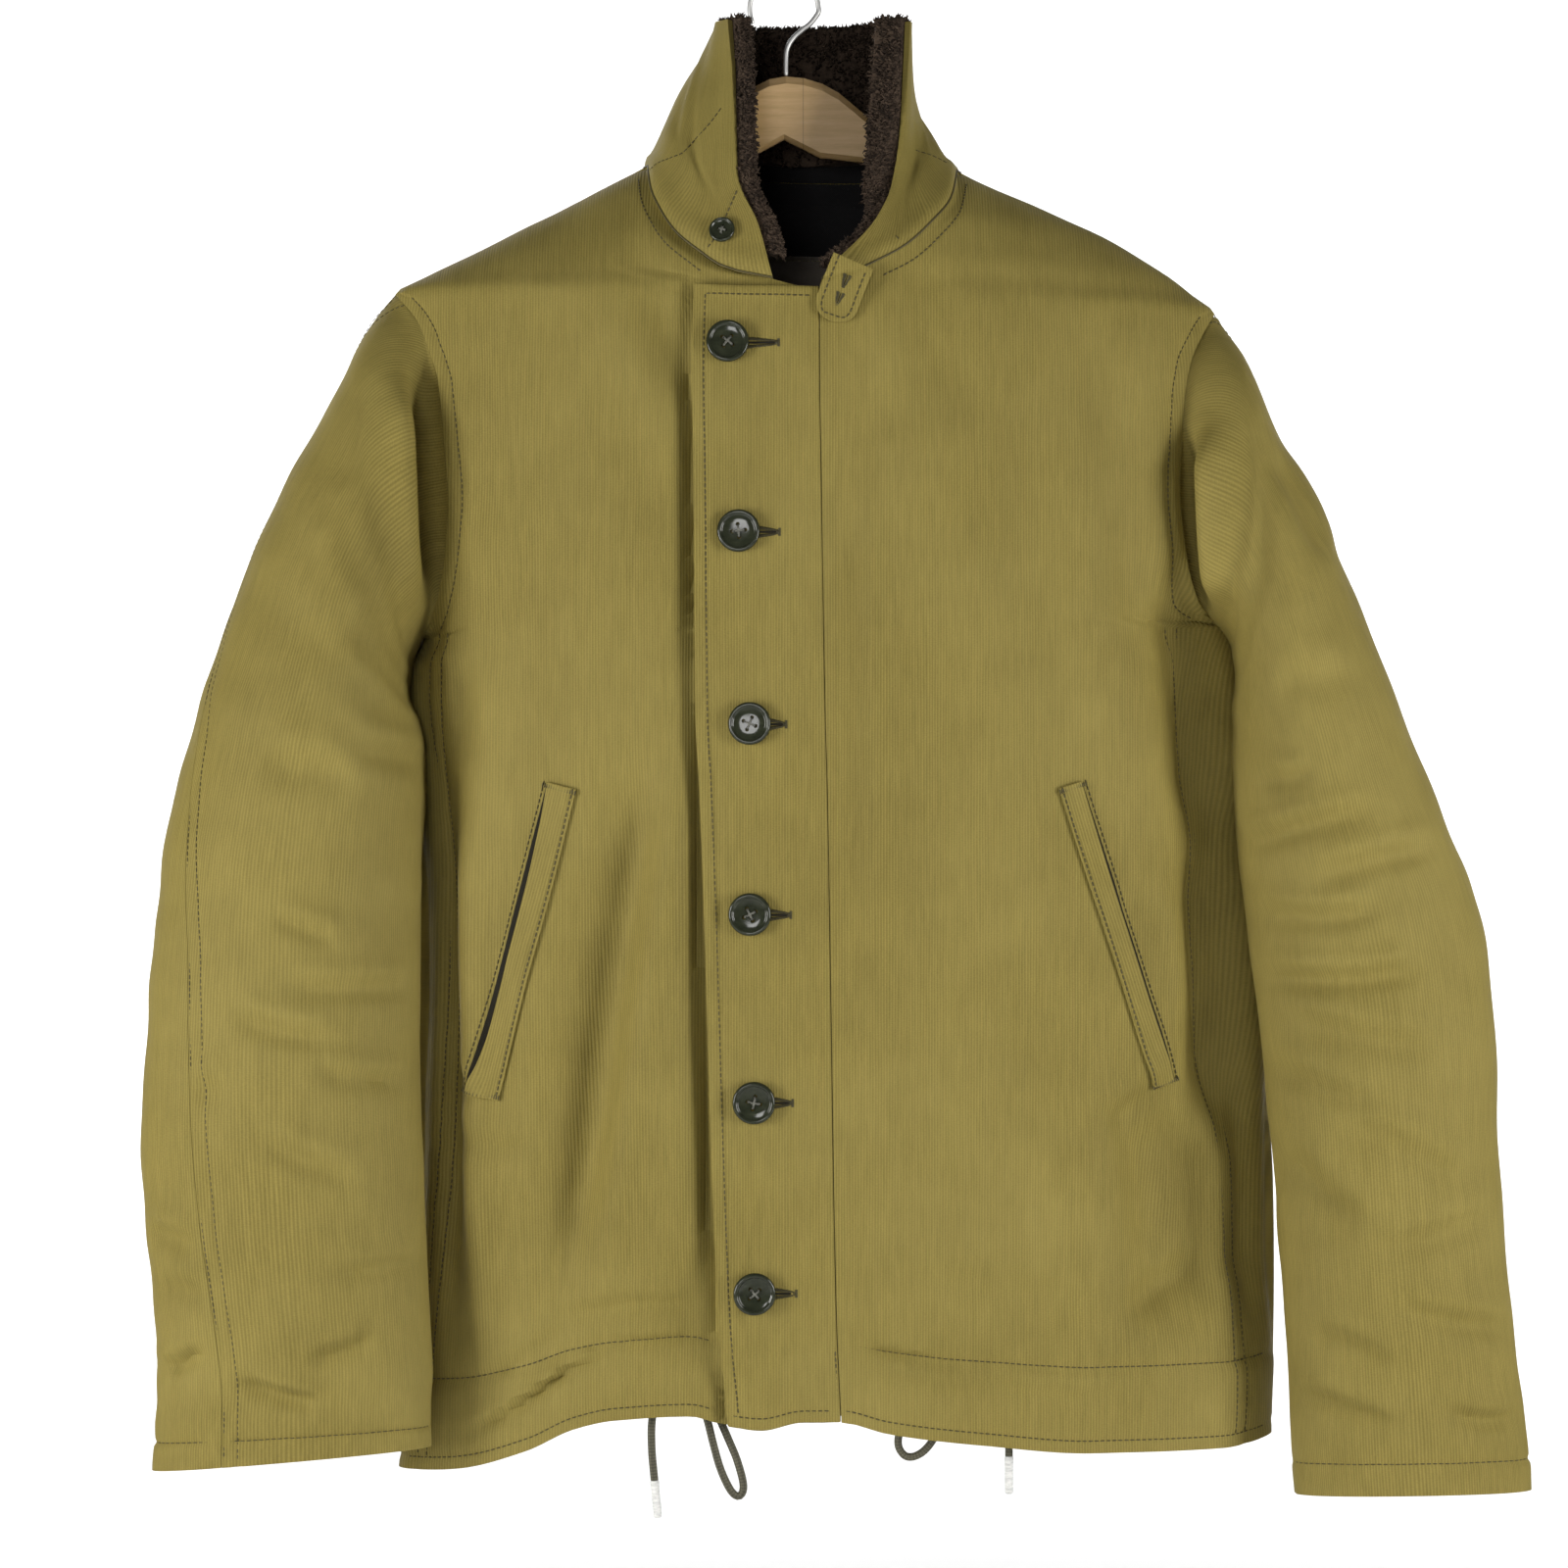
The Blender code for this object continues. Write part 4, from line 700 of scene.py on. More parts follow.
def claim(piece, slot_name, *nodes):
    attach(piece, "root")
    if nodes:
        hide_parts(*nodes)


def tube_mesh(name, path, radius, sides, item):
    """A round tube along a path in millimetres; its UV map runs round and along it in metres."""
    path = np.asarray(path, float)
    radius = np.broadcast_to(np.asarray(radius, float), (len(path),))
    tangent = unit(np.gradient(path, axis=0))
    normal = unit(np.cross(tangent[0], (0.3, 1.0, 0.2)))
    frames = []
    for t in tangent:
        normal = unit(normal - t * np.dot(normal, t))
        frames.append((normal, np.cross(t, normal)))
    turn = np.linspace(0.0, 2.0 * math.pi, sides, endpoint=False)
    rings = np.array([
        p + r * (np.cos(turn)[:, None] * n + np.sin(turn)[:, None] * b)
        for p, r, (n, b) in zip(path, radius, frames)
    ])
    count = len(path)
    index = np.arange(count * sides).reshape(count, sides)
    a, b = index[:-1], np.roll(index[:-1], -1, axis=1)
    c, d = index[1:], np.roll(index[1:], -1, axis=1)
    faces = [tuple(f) for f in np.stack((a, b, d, c), axis=-1).reshape(-1, 4)]
    faces += [tuple(index[0][::-1]), tuple(index[-1])]
    made = mesh_object(name, rings, faces, item)
    mesh = made.data
    mesh.set_sharp_from_angle(angle=math.radians(50.0))
    walked = np.concatenate(([0.0], np.cumsum(np.linalg.norm(np.diff(path, axis=0), axis=1))))
    layer = mesh.uv_layers.new(name="cloth")
    for face in mesh.polygons:
        for loop in face.loop_indices:
            v = mesh.loops[loop].vertex_index
            layer.data[loop].uv = ((v % sides) / sides, walked[v // sides] * MM)
    return made


def stitch_object(name, starts, ends, normals, width, height, item):
    """Many small stitches as one mesh: each an arched thread between two needle holes."""
    starts, ends, normals = (np.asarray(v, float) for v in (starts, ends, normals))
    along = unit(ends - starts)
    side = unit(np.cross(along, normals))
    sunk = normals * 0.12
    one = mix(starts, ends, 0.22)
    two = mix(starts, ends, 0.78)
    points = np.stack((
        starts - sunk,
        one - side * width * 0.5 - sunk, one + normals * height, one + side * width * 0.5 - sunk,
        two - side * width * 0.5 - sunk, two + normals * height, two + side * width * 0.5 - sunk,
        ends - sunk,
    ), axis=1)
    pattern = ((0, 2, 1), (0, 3, 2), (0, 1, 3), (1, 2, 5, 4), (2, 3, 6, 5), (3, 1, 4, 6),
               (7, 4, 5), (7, 5, 6), (7, 6, 4))
    faces = [tuple(8 * k + i for i in face) for k in range(len(starts)) for face in pattern]
    claim(mesh_object(name, points, faces, item), "shell_cloth")


def walk(points, normals, pitch):
    """Even steps along a line on the cloth, with the normals there."""
    length = np.concatenate(([0.0], np.cumsum(np.linalg.norm(np.diff(points, axis=0), axis=1))))
    goals = np.arange(0.0, length[-1], pitch)
    place = np.stack([np.interp(goals, length, points[:, i]) for i in range(3)], axis=1)
    facing = unit(np.stack([np.interp(goals, length, normals[:, i]) for i in range(3)], axis=1))
    return place, facing


class Seams:
    """Collects rows of stitches and makes them one mesh."""

    pitch, share = 3.3, 0.84

    def __init__(self):
        self.starts, self.ends, self.normals = [], [], []

    def row(self, points, normals):
        place, facing = walk(points, normals, self.pitch)
        if len(place) < 2:
            return
        place = place + facing * 0.2
        self.starts.append(place[:-1])
        self.ends.append(mix(place[:-1], place[1:], self.share))
        self.normals.append(facing[:-1])

    def bars(self, starts, ends, normals):
        self.starts.append(np.asarray(starts))
        self.ends.append(np.asarray(ends))
        self.normals.append(np.asarray(normals))

    def make(self, name, item, width=0.86, height=0.30):
        stitch_object(name, np.concatenate(self.starts), np.concatenate(self.ends),
                      np.concatenate(self.normals), width, height, item)


# Materials

RIB_PITCH, BRAID_PITCH, BRAID_YARNS = 0.0015, 0.0034, 5.0
WOOD_JOINT, WOOD_JOINT_HALF = 0.0105, 0.00022


class Graph:
    """A new material, with short ways to add nodes to it."""

    def __init__(self, name):
        self.material = bpy.data.materials.new(name)
        self.material.use_nodes = True
        self.tree = self.material.node_tree
        self.shader = self.tree.nodes["Principled BSDF"]

    def node(self, kind, **values):
        made = self.tree.nodes.new(kind)
        for key, value in values.items():
            setattr(made, key, value)
        return made

    def link(self, source, target):
        self.tree.links.new(source, target)

    def feed(self, target, value):
        if isinstance(value, bpy.types.NodeSocket):
            self.link(value, target)
        else:
            target.default_value = value

    def places(self):
        """The UV map's axes, the UV map and the place in the object."""
        outputs = self.node("ShaderNodeTexCoord").outputs
        return self.axes(outputs["UV"]), outputs["UV"], outputs["Object"]

    def axes(self, vector):
        split = self.node("ShaderNodeSeparateXYZ")
        self.link(vector, split.inputs[0])
        return split.outputs

    def math(self, operation, first, second=0.0, third=0.0):
        made = self.node("ShaderNodeMath", operation=operation)
        for socket, value in zip(made.inputs, (first, second, third)):
            self.feed(socket, value)
        return made.outputs[0]

    def noise(self, vector, scale, detail=3.0, rough=0.55):
        made = self.node("ShaderNodeTexNoise")
        self.link(vector, made.inputs["Vector"])
        for name, value in (("Scale", scale), ("Detail", detail), ("Roughness", rough)):
            made.inputs[name].default_value = value
        return made.outputs["Fac"]

    def stretched_noise(self, vector, scale, detail=3.0, rough=0.55):
        made = self.node("ShaderNodeMapping")
        self.link(vector, made.inputs["Vector"])
        made.inputs["Scale"].default_value = scale
        return self.noise(made.outputs["Vector"], 1.0, detail, rough)

    def waves(self, value, pitch, shift=0.0):
        return self.math("SINE", self.math("MULTIPLY_ADD", value, 2.0 * math.pi / pitch, shift))

    def ramp(self, value, stops):
        made = self.node("ShaderNodeValToRGB")
        self.link(value, made.inputs["Fac"])
        band = made.color_ramp
        while len(band.elements) < len(stops):
            band.elements.new(0.5)
        for element, (place, colour) in zip(band.elements, stops):
            element.position = place
            element.color = (*colour, 1.0)
        return made.outputs["Color"]

    def blend(self, kind, factor, first, second):
        made = self.node("ShaderNodeMix", data_type="RGBA", blend_type=kind)
        for name, value in (("Factor", factor), ("A", first), ("B", second)):
            self.feed(made.inputs[name], value)
        return made.outputs["Result"]

    def bump(self, height, distance, strength=1.0, under=None):
        made = self.node("ShaderNodeBump")
        self.link(height, made.inputs["Height"])
        made.inputs["Distance"].default_value = distance
        made.inputs["Strength"].default_value = strength
        if under is not None:
            self.link(under, made.inputs["Normal"])
        return made.outputs["Normal"]

    def surface(self, colour, roughness, normal, **values):
        """Feeds the shader; in a value's name an underscore stands for a space."""
        for name, source in (("Base Color", colour), ("Roughness", roughness), ("Normal", normal)):
            self.link(source, self.shader.inputs[name])
        for name, value in values.items():
            self.shader.inputs[name.replace("_", " ")].default_value = value
        return self.material


def cloth_material(name, dark, light, worn):
    """Fine ribbed cotton: ribs along the grain, uneven yarns, faded patches and a soft sheen."""
    g = Graph(name)
    axes, uv, where = g.places()
    wander = g.math("MULTIPLY", g.stretched_noise(uv, (60.0, 9.0, 1.0), 2.0), 5.0)
    rib = g.math("MULTIPLY_ADD", g.waves(axes["X"], RIB_PITCH, wander), 0.5, 0.5)
    yarn = g.stretched_noise(uv, (620.0, 2100.0, 1.0), 2.0, 0.6)
    slub = g.stretched_noise(uv, (420.0, 38.0, 1.0), 3.0, 0.6)
    patch = g.noise(where, 7.0, 5.0, 0.6)
    cloud = g.noise(where, 26.0, 4.0, 0.6)
    tone = g.math("MULTIPLY_ADD", yarn, 0.42, g.math("MULTIPLY", slub, 0.36))
    tone = g.math("MULTIPLY_ADD", rib, 0.26, tone)
    colour = g.ramp(tone, ((0.22, dark), (0.84, light)))
    colour = g.blend("MIX", g.ramp(patch, ((0.40, (0, 0, 0)), (0.75, (0.4, 0.4, 0.4)))), colour, (*worn, 1.0))
    shade = g.ramp(cloud, ((0.3, (0.92, 0.91, 0.89)), (0.7, (1.04, 1.03, 1.02))))
    fine = g.bump(g.math("MULTIPLY_ADD", rib, 0.7, g.math("MULTIPLY", yarn, 0.6)), 0.00022, 0.75)
    return g.surface(
        g.blend("MULTIPLY", 1.0, colour, shade), g.math("MULTIPLY_ADD", yarn, 0.16, 0.62),
        g.bump(g.noise(where, 95.0, 4.0), 0.0009, 0.35, fine), Sheen_Weight=0.06, Sheen_Roughness=0.5,
        Sheen_Tint=(0.6, 0.54, 0.28, 1.0), Specular_IOR_Level=0.16)


def pile_material(name, deep, tip):
    g = Graph(name)
    _, _, where = g.places()
    fleck = g.noise(where, 520.0, 3.0, 0.7)
    patch = g.noise(where, 90.0, 3.0)
    tuft = g.math("MULTIPLY_ADD", g.node("ShaderNodeNewGeometry").outputs["Random Per Island"], 0.34, -0.17)
    tone = g.math("ADD", g.math("MULTIPLY_ADD", fleck, 0.6, g.math("MULTIPLY", patch, 0.4)), tuft)
    return g.surface(
        g.ramp(tone, ((0.34, deep), (0.70, tip))), g.math("MULTIPLY_ADD", patch, 0.1, 0.82),
        g.bump(g.noise(where, 700.0, 3.0), 0.0008, 0.8), Sheen_Weight=0.12, Sheen_Roughness=0.4,
        Sheen_Tint=(0.5, 0.36, 0.26, 1.0), Specular_IOR_Level=0.2)


def woven_material(name, dark, light, pitch):
    """A plain weave for linings, labels and the unlit inside of a pocket or buttonhole."""
    g = Graph(name)
    axes, _, where = g.places()
    weave = g.math("MULTIPLY", g.waves(axes["X"], pitch), g.waves(axes["Y"], pitch))
    weave = g.math("MULTIPLY_ADD", weave, 0.5, 0.5)
    patch = g.noise(where, 60.0, 4.0)
    tone = g.math("MULTIPLY_ADD", weave, 0.4, g.math("MULTIPLY", patch, 0.6))
    return g.surface(
        g.ramp(tone, ((0.25, dark), (0.8, light))), g.math("MULTIPLY_ADD", patch, 0.1, 0.75),
        g.bump(weave, 0.00015, 0.8), Specular_IOR_Level=0.25)


def thread_material(name, dark, light):
    g = Graph(name)
    twist = g.noise(g.places()[2], 1900.0, 2.0)
    return g.surface(g.ramp(twist, ((0.3, dark), (0.7, light))), g.math("MULTIPLY_ADD", twist, 0.1, 0.6),
                     g.bump(twist, 0.0001, 0.6))


def button_material(name):
    g = Graph(name)
    _, _, where = g.places()
    cloud = g.stretched_noise(where, (130.0, 130.0, 312.0), 5.0, 0.62)
    colours = ((0.3, (0.014, 0.017, 0.009)), (0.62, (0.027, 0.031, 0.017)), (0.8, (0.046, 0.050, 0.029)))
    return g.surface(
        g.ramp(cloud, colours), g.math("MULTIPLY_ADD", g.noise(where, 900.0, 2.0), 0.10, 0.08),
        g.bump(g.noise(where, 420.0, 2.0), 0.00004, 0.4), Coat_Weight=0.15, Coat_Roughness=0.08,
        Specular_IOR_Level=0.4)


def wood_material(name):
    """Pale varnished beech with long grain, short flecks and the joint of its two halves."""
    g = Graph(name)
    _, _, where = g.places()
    axes = g.axes(where)
    warp = g.math("MULTIPLY", g.stretched_noise(where, (5.0, 30.0, 30.0)), 16.0)
    lines = g.math("SINE", g.math("MULTIPLY_ADD", axes["Z"], 900.0, warp))
    grain = g.stretched_noise(where, (40.0, 600.0, 600.0), 4.0, 0.65)
    fleck = g.stretched_noise(where, (220.0, 900.0, 1400.0), 2.0, 0.5)
    tone = g.math("MULTIPLY_ADD", grain, 0.62, g.math("MULTIPLY", fleck, 0.3))
    tone = g.math("MULTIPLY_ADD", lines, 0.09, tone)
    colours = ((0.25, (0.600, 0.380, 0.150)), (0.50, (0.700, 0.460, 0.200)), (0.75, (0.770, 0.530, 0.260)))
    joint = g.math("ABSOLUTE", g.math("SUBTRACT", axes["X"], WOOD_JOINT))
    joint = g.math("MULTIPLY", g.math("LESS_THAN", joint, WOOD_JOINT_HALF), 0.55)
    return g.surface(
        g.blend("MIX", joint, g.ramp(tone, colours), (0.17, 0.085, 0.032, 1.0)),
        g.math("MULTIPLY_ADD", grain, 0.2, 0.3), g.bump(grain, 0.00008, 0.5),
        Coat_Weight=0.2, Coat_Roughness=0.25)


def steel_material(name):
    g = Graph(name)
    drawn = g.stretched_noise(g.places()[2], (900.0, 900.0, 120.0))
    return g.surface(
        g.ramp(drawn, ((0.3, (0.66, 0.66, 0.65)), (0.7, (0.80, 0.80, 0.78)))),
        g.math("MULTIPLY_ADD", drawn, 0.16, 0.36), g.bump(drawn, 0.00003, 0.4), Metallic=0.85)


def cord_material(name):
    """A round braid: two sets of yarns that cross."""
    g = Graph(name)
    axes, _, where = g.places()
    around = g.math("MULTIPLY", axes["X"], 2.0 * math.pi * BRAID_YARNS)
    along = g.math("MULTIPLY", axes["Y"], 2.0 * math.pi / BRAID_PITCH)
    one = g.math("SINE", g.math("ADD", around, along))
    two = g.math("SINE", g.math("SUBTRACT", around, along))
    woven = g.math("MULTIPLY_ADD", g.math("MULTIPLY", one, two), 0.5, 0.5)
    grain = g.noise(where, 900.0, 3.0)
    tone = g.math("MULTIPLY_ADD", woven, 0.6, g.math("MULTIPLY", grain, 0.4))
    return g.surface(
        g.ramp(tone, ((0.2, (0.050, 0.046, 0.028)), (0.8, (0.150, 0.142, 0.095)))),
        g.math("MULTIPLY_ADD", grain, 0.1, 0.7), g.bump(woven, 0.00035, 0.9))


def aglet_material(name):
    g = Graph(name)
    ripple = g.stretched_noise(g.places()[2], (300.0, 300.0, 900.0), 2.0)
    return g.surface(
        g.ramp(ripple, ((0.3, (0.62, 0.63, 0.62)), (0.7, (0.90, 0.90, 0.88)))),
        g.math("MULTIPLY_ADD", ripple, 0.15, 0.12), g.bump(ripple, 0.0001, 0.5))


KHAKI_DARK, KHAKI_LIGHT, KHAKI_WORN = (0.150, 0.120, 0.028), (0.335, 0.270, 0.072), (0.345, 0.285, 0.088)
cloth = cloth_material("ribbed_cloth", KHAKI_DARK, KHAKI_LIGHT, KHAKI_WORN)
inside = woven_material("inside_lining", (0.006, 0.006, 0.006), (0.020, 0.019, 0.020), 0.0012)
pile = pile_material("brown_pile", (0.014, 0.009, 0.006), (0.085, 0.058, 0.040))
label_cloth = woven_material("label_cloth", (0.130, 0.112, 0.092), (0.240, 0.208, 0.172), 0.0007)
thread = thread_material("olive_thread", (0.050, 0.040, 0.011), (0.105, 0.085, 0.026))
hole_thread = thread_material("hole_thread", (0.040, 0.034, 0.012), (0.088, 0.076, 0.029))
grey_thread = thread_material("grey_thread", (0.085, 0.085, 0.070), (0.190, 0.190, 0.160))
pale_thread = thread_material("pale_thread", (0.150, 0.125, 0.060), (0.300, 0.260, 0.140))
resin = button_material("button_resin")
wood = wood_material("hanger_wood_grain")
steel = steel_material("hook_steel")
braid = cord_material("cord_braid")
tip = aglet_material("aglet_plastic")
# Painted shade: a near-black weave that stands in for the shade inside pocket mouths and buttonhole slits.
dark = woven_material("painted_hollow_shade", (0.008, 0.007, 0.004), (0.024, 0.020, 0.010), 0.001)


# Camera, light and floor

def add_camera():
    data = bpy.data.cameras.new("camera")
    data.lens = SENSOR * CAMERA_DISTANCE / VIEW_WIDTH
    data.sensor_width = SENSOR
    made = link_object("camera", data)
    made.location = (0.0, FRONT_PLANE - CAMERA_DISTANCE, VIEW_HEIGHT)
    made.rotation_euler = (math.radians(90.0), 0.0, 0.0)
    bpy.context.scene.camera = made


def add_light(name, place, aim, size, power, colour=(1.0, 1.0, 1.0)):
    data = bpy.data.lights.new(name, "AREA")
    data.shape = "RECTANGLE"
    data.size, data.size_y = size
    data.energy = power
    data.color = colour
    made = link_object(name, data)
    made.location = place
    made.rotation_euler = (Vector(aim) - Vector(place)).to_track_quat("-Z", "Y").to_euler()


def add_stage():
    """A pale floor under the jacket that sweeps up behind it, in metres."""
    floor, wall, turn, wide = -1.25, 5.0, 0.9, 9.0
    profile = [(-6.0, floor)]
    for k in range(13):
        angle = math.radians(90.0 * k / 12.0)
        profile.append((wall - turn + turn * math.sin(angle), floor + turn - turn * math.cos(angle)))
    profile.append((wall, 5.0))
    points = [(x / MM, y / MM, z / MM) for y, z in profile for x in (-wide, wide)]
    faces = [(2 * k, 2 * k + 1, 2 * k + 3, 2 * k + 2) for k in range(len(profile) - 1)]
    white = Graph("studio_white")
    white.shader.inputs["Base Color"].default_value = (0.86, 0.86, 0.86, 1.0)
    white.shader.inputs["Roughness"].default_value = 0.9
    mesh_object("studio_sweep", points, faces, white.material)


def add_studio():
    world = bpy.data.worlds.new("studio")
    world.use_nodes = True
    backdrop = world.node_tree.nodes["Background"]
    backdrop.inputs["Color"].default_value = (1.0, 1.0, 1.0, 1.0)
    backdrop.inputs["Strength"].default_value = 0.09
    bpy.context.scene.world = world
    centre = (0.02, 0.0, -0.42)
    add_light("side_left", (-1.5, -1.0, -0.48), centre, (0.6, 0.9), 23.0, (1.0, 0.985, 0.95))
    add_light("side_right", (1.5, -1.0, -0.48), centre, (0.6, 0.9), 21.0, (1.0, 0.985, 0.96))
    add_light("front", (-0.5, -2.85, -0.2), centre, (0.7, 0.7), 13.5, (0.99, 0.985, 0.98))
    add_light("rear", (-0.9, 2.2, 0.9), centre, (0.8, 0.8), 9.0)
    add_light("backdrop_left", (-2.6, 3.2, 0.6), (-0.4, 5.0, -0.5), (1.0, 2.4), 110.0)
    add_light("backdrop_right", (2.6, 3.2, 0.6), (0.4, 5.0, -0.5), (1.0, 2.4), 110.0)
    bpy.context.scene.view_settings.view_transform = "Standard"


# Body panels

def spaced(*stations):
    """Levels between the named ones, about a grid's width apart."""
    made = [stations[0]]
    for first, last in zip(stations, stations[1:]):
        count = max(int(round(abs(last - first) / GRID)), 1)
        made += list(np.linspace(first, last, count + 1)[1:])
    return np.array(made)


CLOTH_LEVELS = spaced(NECK_TOP, NECK_BASE, ARM_TOP, ARM_BASE, HEM_BAND, HEM)
PLACKET_LEVELS = spaced(PLACKET_TOP, ARM_TOP, ARM_BASE, HEM_BAND, HEM)


def cloth_shell(name, base, normals, raised, uv, held, rolled=0.9):
    """A closed shell of creased cloth on a solid's form. It gives its outer points."""
    outer = base + normals * raised[..., None]
    inner = outer - normals * CLOTH
    for column, towards, edge in ((0, 1, "first"), (-1, -2, "last")):
        for surface in (outer, inner) if edge in held else ():
            surface[:, column] += unit(surface[:, towards] - surface[:, column]) * 0.5 * SEAM_GAP
    piece = grid_object("cloth_" + name, outer, inner, (cloth, inside), uv)
    soften_edges(piece, rolled)
    claim(piece, "shell_cloth", name)
    return outer


def panel(name, levels, columns, first, last, relief, press, held):
    """A body panel between two edges, given as angles for each level."""
    share = np.linspace(0.0, 1.0, columns + 1)[None, :]
    start, end = first(levels)[:, None], last(levels)[:, None]
    angle = start + (end - start) * share
    level = np.broadcast_to(levels[:, None], angle.shape)
    grid, normals = body_point(level, angle), body_normal(level, angle)
    grid[..., 1] += press(grid[..., 0], level)
    raised = relief(grid[..., 0], level) * edge_hold(*angle.shape, held)
    uv = np.stack((grid[..., 0], level), axis=-1) * MM
    cloth_shell(name, grid, normals, raised, uv, held)


def no_press(x, level):
    return 0.0


def add_body():
    wide, narrow = int(245 / GRID), int(70 / GRID) + 3
    panel("front_right", CLOTH_LEVELS, wide, lambda v: armhole_angle(v, -1), right_inner_angle, front_relief,
          underlap_press, ("first",))
    panel("front_left", CLOTH_LEVELS, wide, left_inner_angle, lambda v: armhole_angle(v, 1), front_relief,
          no_press, ("first", "last"))
    panel("placket", PLACKET_LEVELS, narrow, lambda v: body_angle(v, PLACKET.at("edge", v)),
          lambda v: body_angle(v, PLACKET.at("seam", v)), placket_relief, no_press, ("last",))
    panel("back", CLOTH_LEVELS, 2 * wide, lambda v: armhole_angle(v, 1, False),
          lambda v: armhole_angle(v, -1, False), back_relief, no_press, ("first", "last"))


def level_of(x, z, front=True):
    """The level whose form passes through a height at some X."""
    level = np.asarray(z, float) + 0.0
    for _ in range(6):
        level = level + (z - body_point(level, body_angle(level, x, front))[..., 2])
    return level


def on_front(x, level, pressed=False, relief=front_relief):
    """Points and normals of the creased front cloth at X and level."""
    x, level = np.broadcast_arrays(np.asarray(x, float), np.asarray(level, float))
    angle = body_angle(level, x)
    point, normal = body_point(level, angle), body_normal(level, angle)
    if pressed:
        point[..., 1] += underlap_press(x, level)
    step = 1.5
    slope_x = (relief(x + step, level) - relief(x - step, level)) / (2 * step)
    slope_z = (relief(x, level + step) - relief(x, level - step)) / (2 * step)
    slope = np.stack((slope_x, np.zeros(x.shape), slope_z), axis=-1)
    return point + normal * relief(x, level)[..., None], unit(normal - slope)


def on_back(x, level):
    x, level = np.broadcast_arrays(np.asarray(x, float), np.asarray(level, float))
    angle = body_angle(level, x, front=False)
    point, normal = body_point(level, angle), body_normal(level, angle)
    return point + normal * back_relief(x, level)[..., None], normal


# Sleeves

def armhole_point(side, theta):
    """The armhole seam as a loop: 0 at the shoulder, 180 under the arm, front first."""
    theta = np.asarray(theta, float) % (2.0 * math.pi)
    front = theta <= math.pi
    share = np.where(front, theta, 2.0 * math.pi - theta) / math.pi
    level = mix(ARM_TOP, ARM_BASE, share)
    level = np.clip(level, ARM_BASE + 1e-6, ARM_TOP - 1e-6)
    angle = np.where(front, armhole_angle(level, side, True), armhole_angle(level, side, False))
    return body_point(level, angle), body_normal(level, angle)


def sleeve_base(side, section, theta):
    table = SLEEVE_MINUS if side < 0 else SLEEVE_PLUS
    section, theta = np.broadcast_arrays(np.asarray(section, float), np.asarray(theta, float))
    zero = np.zeros(section.shape)
    outer = np.stack((table.at("outer_x", section), zero, table.at("outer_z", section)), axis=-1)
    inner = np.stack((table.at("inner_x", section), zero, table.at("inner_z", section)), axis=-1)
    power = 2.0 / SLEEVE_ROUNDNESS
    sine = signed_power(np.sin(theta), power)
    point = 0.5 * (outer + inner) + 0.5 * (outer - inner) * signed_power(np.cos(theta), power)[..., None]
    point[..., 1] = table.at("middle", section) - table.at("half", section) * sine
    lean = SLEEVE_LEAN.at("minus" if side < 0 else "plus", section)
    point[..., 0] -= side * lean * (0.5 - 0.5 * np.cos(theta)) ** 2
    head = (1.0 - ease(section / SLEEVE_HEAD))[..., None]
    return point * (1.0 - head) + armhole_point(side, theta)[0] * head


# About how far apart the sleeve's sections are, how thick it is, and where its two rows of stitches lie
SECTION_LENGTH, SLEEVE_RADIUS, SLEEVE_ROWS = 40.0, 62.0, (1.2, 8.0)


def sleeve_seam(side, section):
    return np.radians((SLEEVE_MINUS if side < 0 else SLEEVE_PLUS).at("seam", section))


def sleeve_relief(side, section, theta):
    """What a sleeve's cloth does beyond the solids' form, outwards in millimetres."""
    base = sleeve_base(side, section, theta)
    along, across = section * SECTION_LENGTH, theta % (2.0 * math.pi) * SLEEVE_RADIUS
    scaled = []
    for s1, t1, s2, t2, s3, t3, width, depth in SLEEVE_BACK_CREASES:
        places = ((s1, t1), (s2, t2), (s3, t3))
        flat = [v for s, a in places for v in (s * SECTION_LENGTH, math.radians(a) * SLEEVE_RADIUS)]
        scaled.append((*flat, width, depth))
    facing = ease(np.sin(theta) / 0.12 + 0.5)
    front = SLEEVE_STRENGTH * crease_relief(base[..., 0], base[..., 2], SLEEVE_FRONT_CREASES) * facing
    rear = crease_relief(along, across, scaled) * (1.0 - facing)
    total = (front + rear) * ease(section / 0.3) * ease((SLEEVE_SECTIONS - section) / 0.8 + 0.2)
    total = total + waviness(along, np.sin(theta) * 60.0, 11 if side < 0 else 13, 0.5) * ease(section / 0.6)
    from_cuff = section - CUFF_STITCH
    gather = np.sin(across / 5.0 + 1.4 * np.sin(across / 17.0)) * dip(from_cuff + 0.25, 0.3)
    beside = (theta - sleeve_seam(side, section)) * SLEEVE_RADIUS
    rows = sum(dip(beside - row, 1.6) for row in SLEEVE_ROWS)
    total = total + 0.8 * ease(from_cuff / 0.12) - 0.8 * dip(from_cuff, 0.05) + 0.45 * gather
    return total - 0.5 * rows * ease(section / 2.0)


def sleeve_normal(side, section, theta):
    step_s, step_t = 0.03, 0.03
    section = np.asarray(section, float)
    low, high = np.maximum(section - step_s, 0.0), np.minimum(section + step_s, SLEEVE_SECTIONS)
    down = sleeve_base(side, high, theta) - sleeve_base(side, low, theta)
    around = sleeve_base(side, section, theta + step_t) - sleeve_base(side, section, theta - step_t)
    normal = unit(np.cross(down, around))
    return normal if side < 0 else -normal


def on_sleeve(side, section, theta):
    section, theta = np.broadcast_arrays(np.asarray(section, float), np.asarray(theta, float))
    normal = sleeve_normal(side, section, theta)
    return sleeve_base(side, section, theta) + normal * sleeve_relief(side, section, theta)[..., None], normal


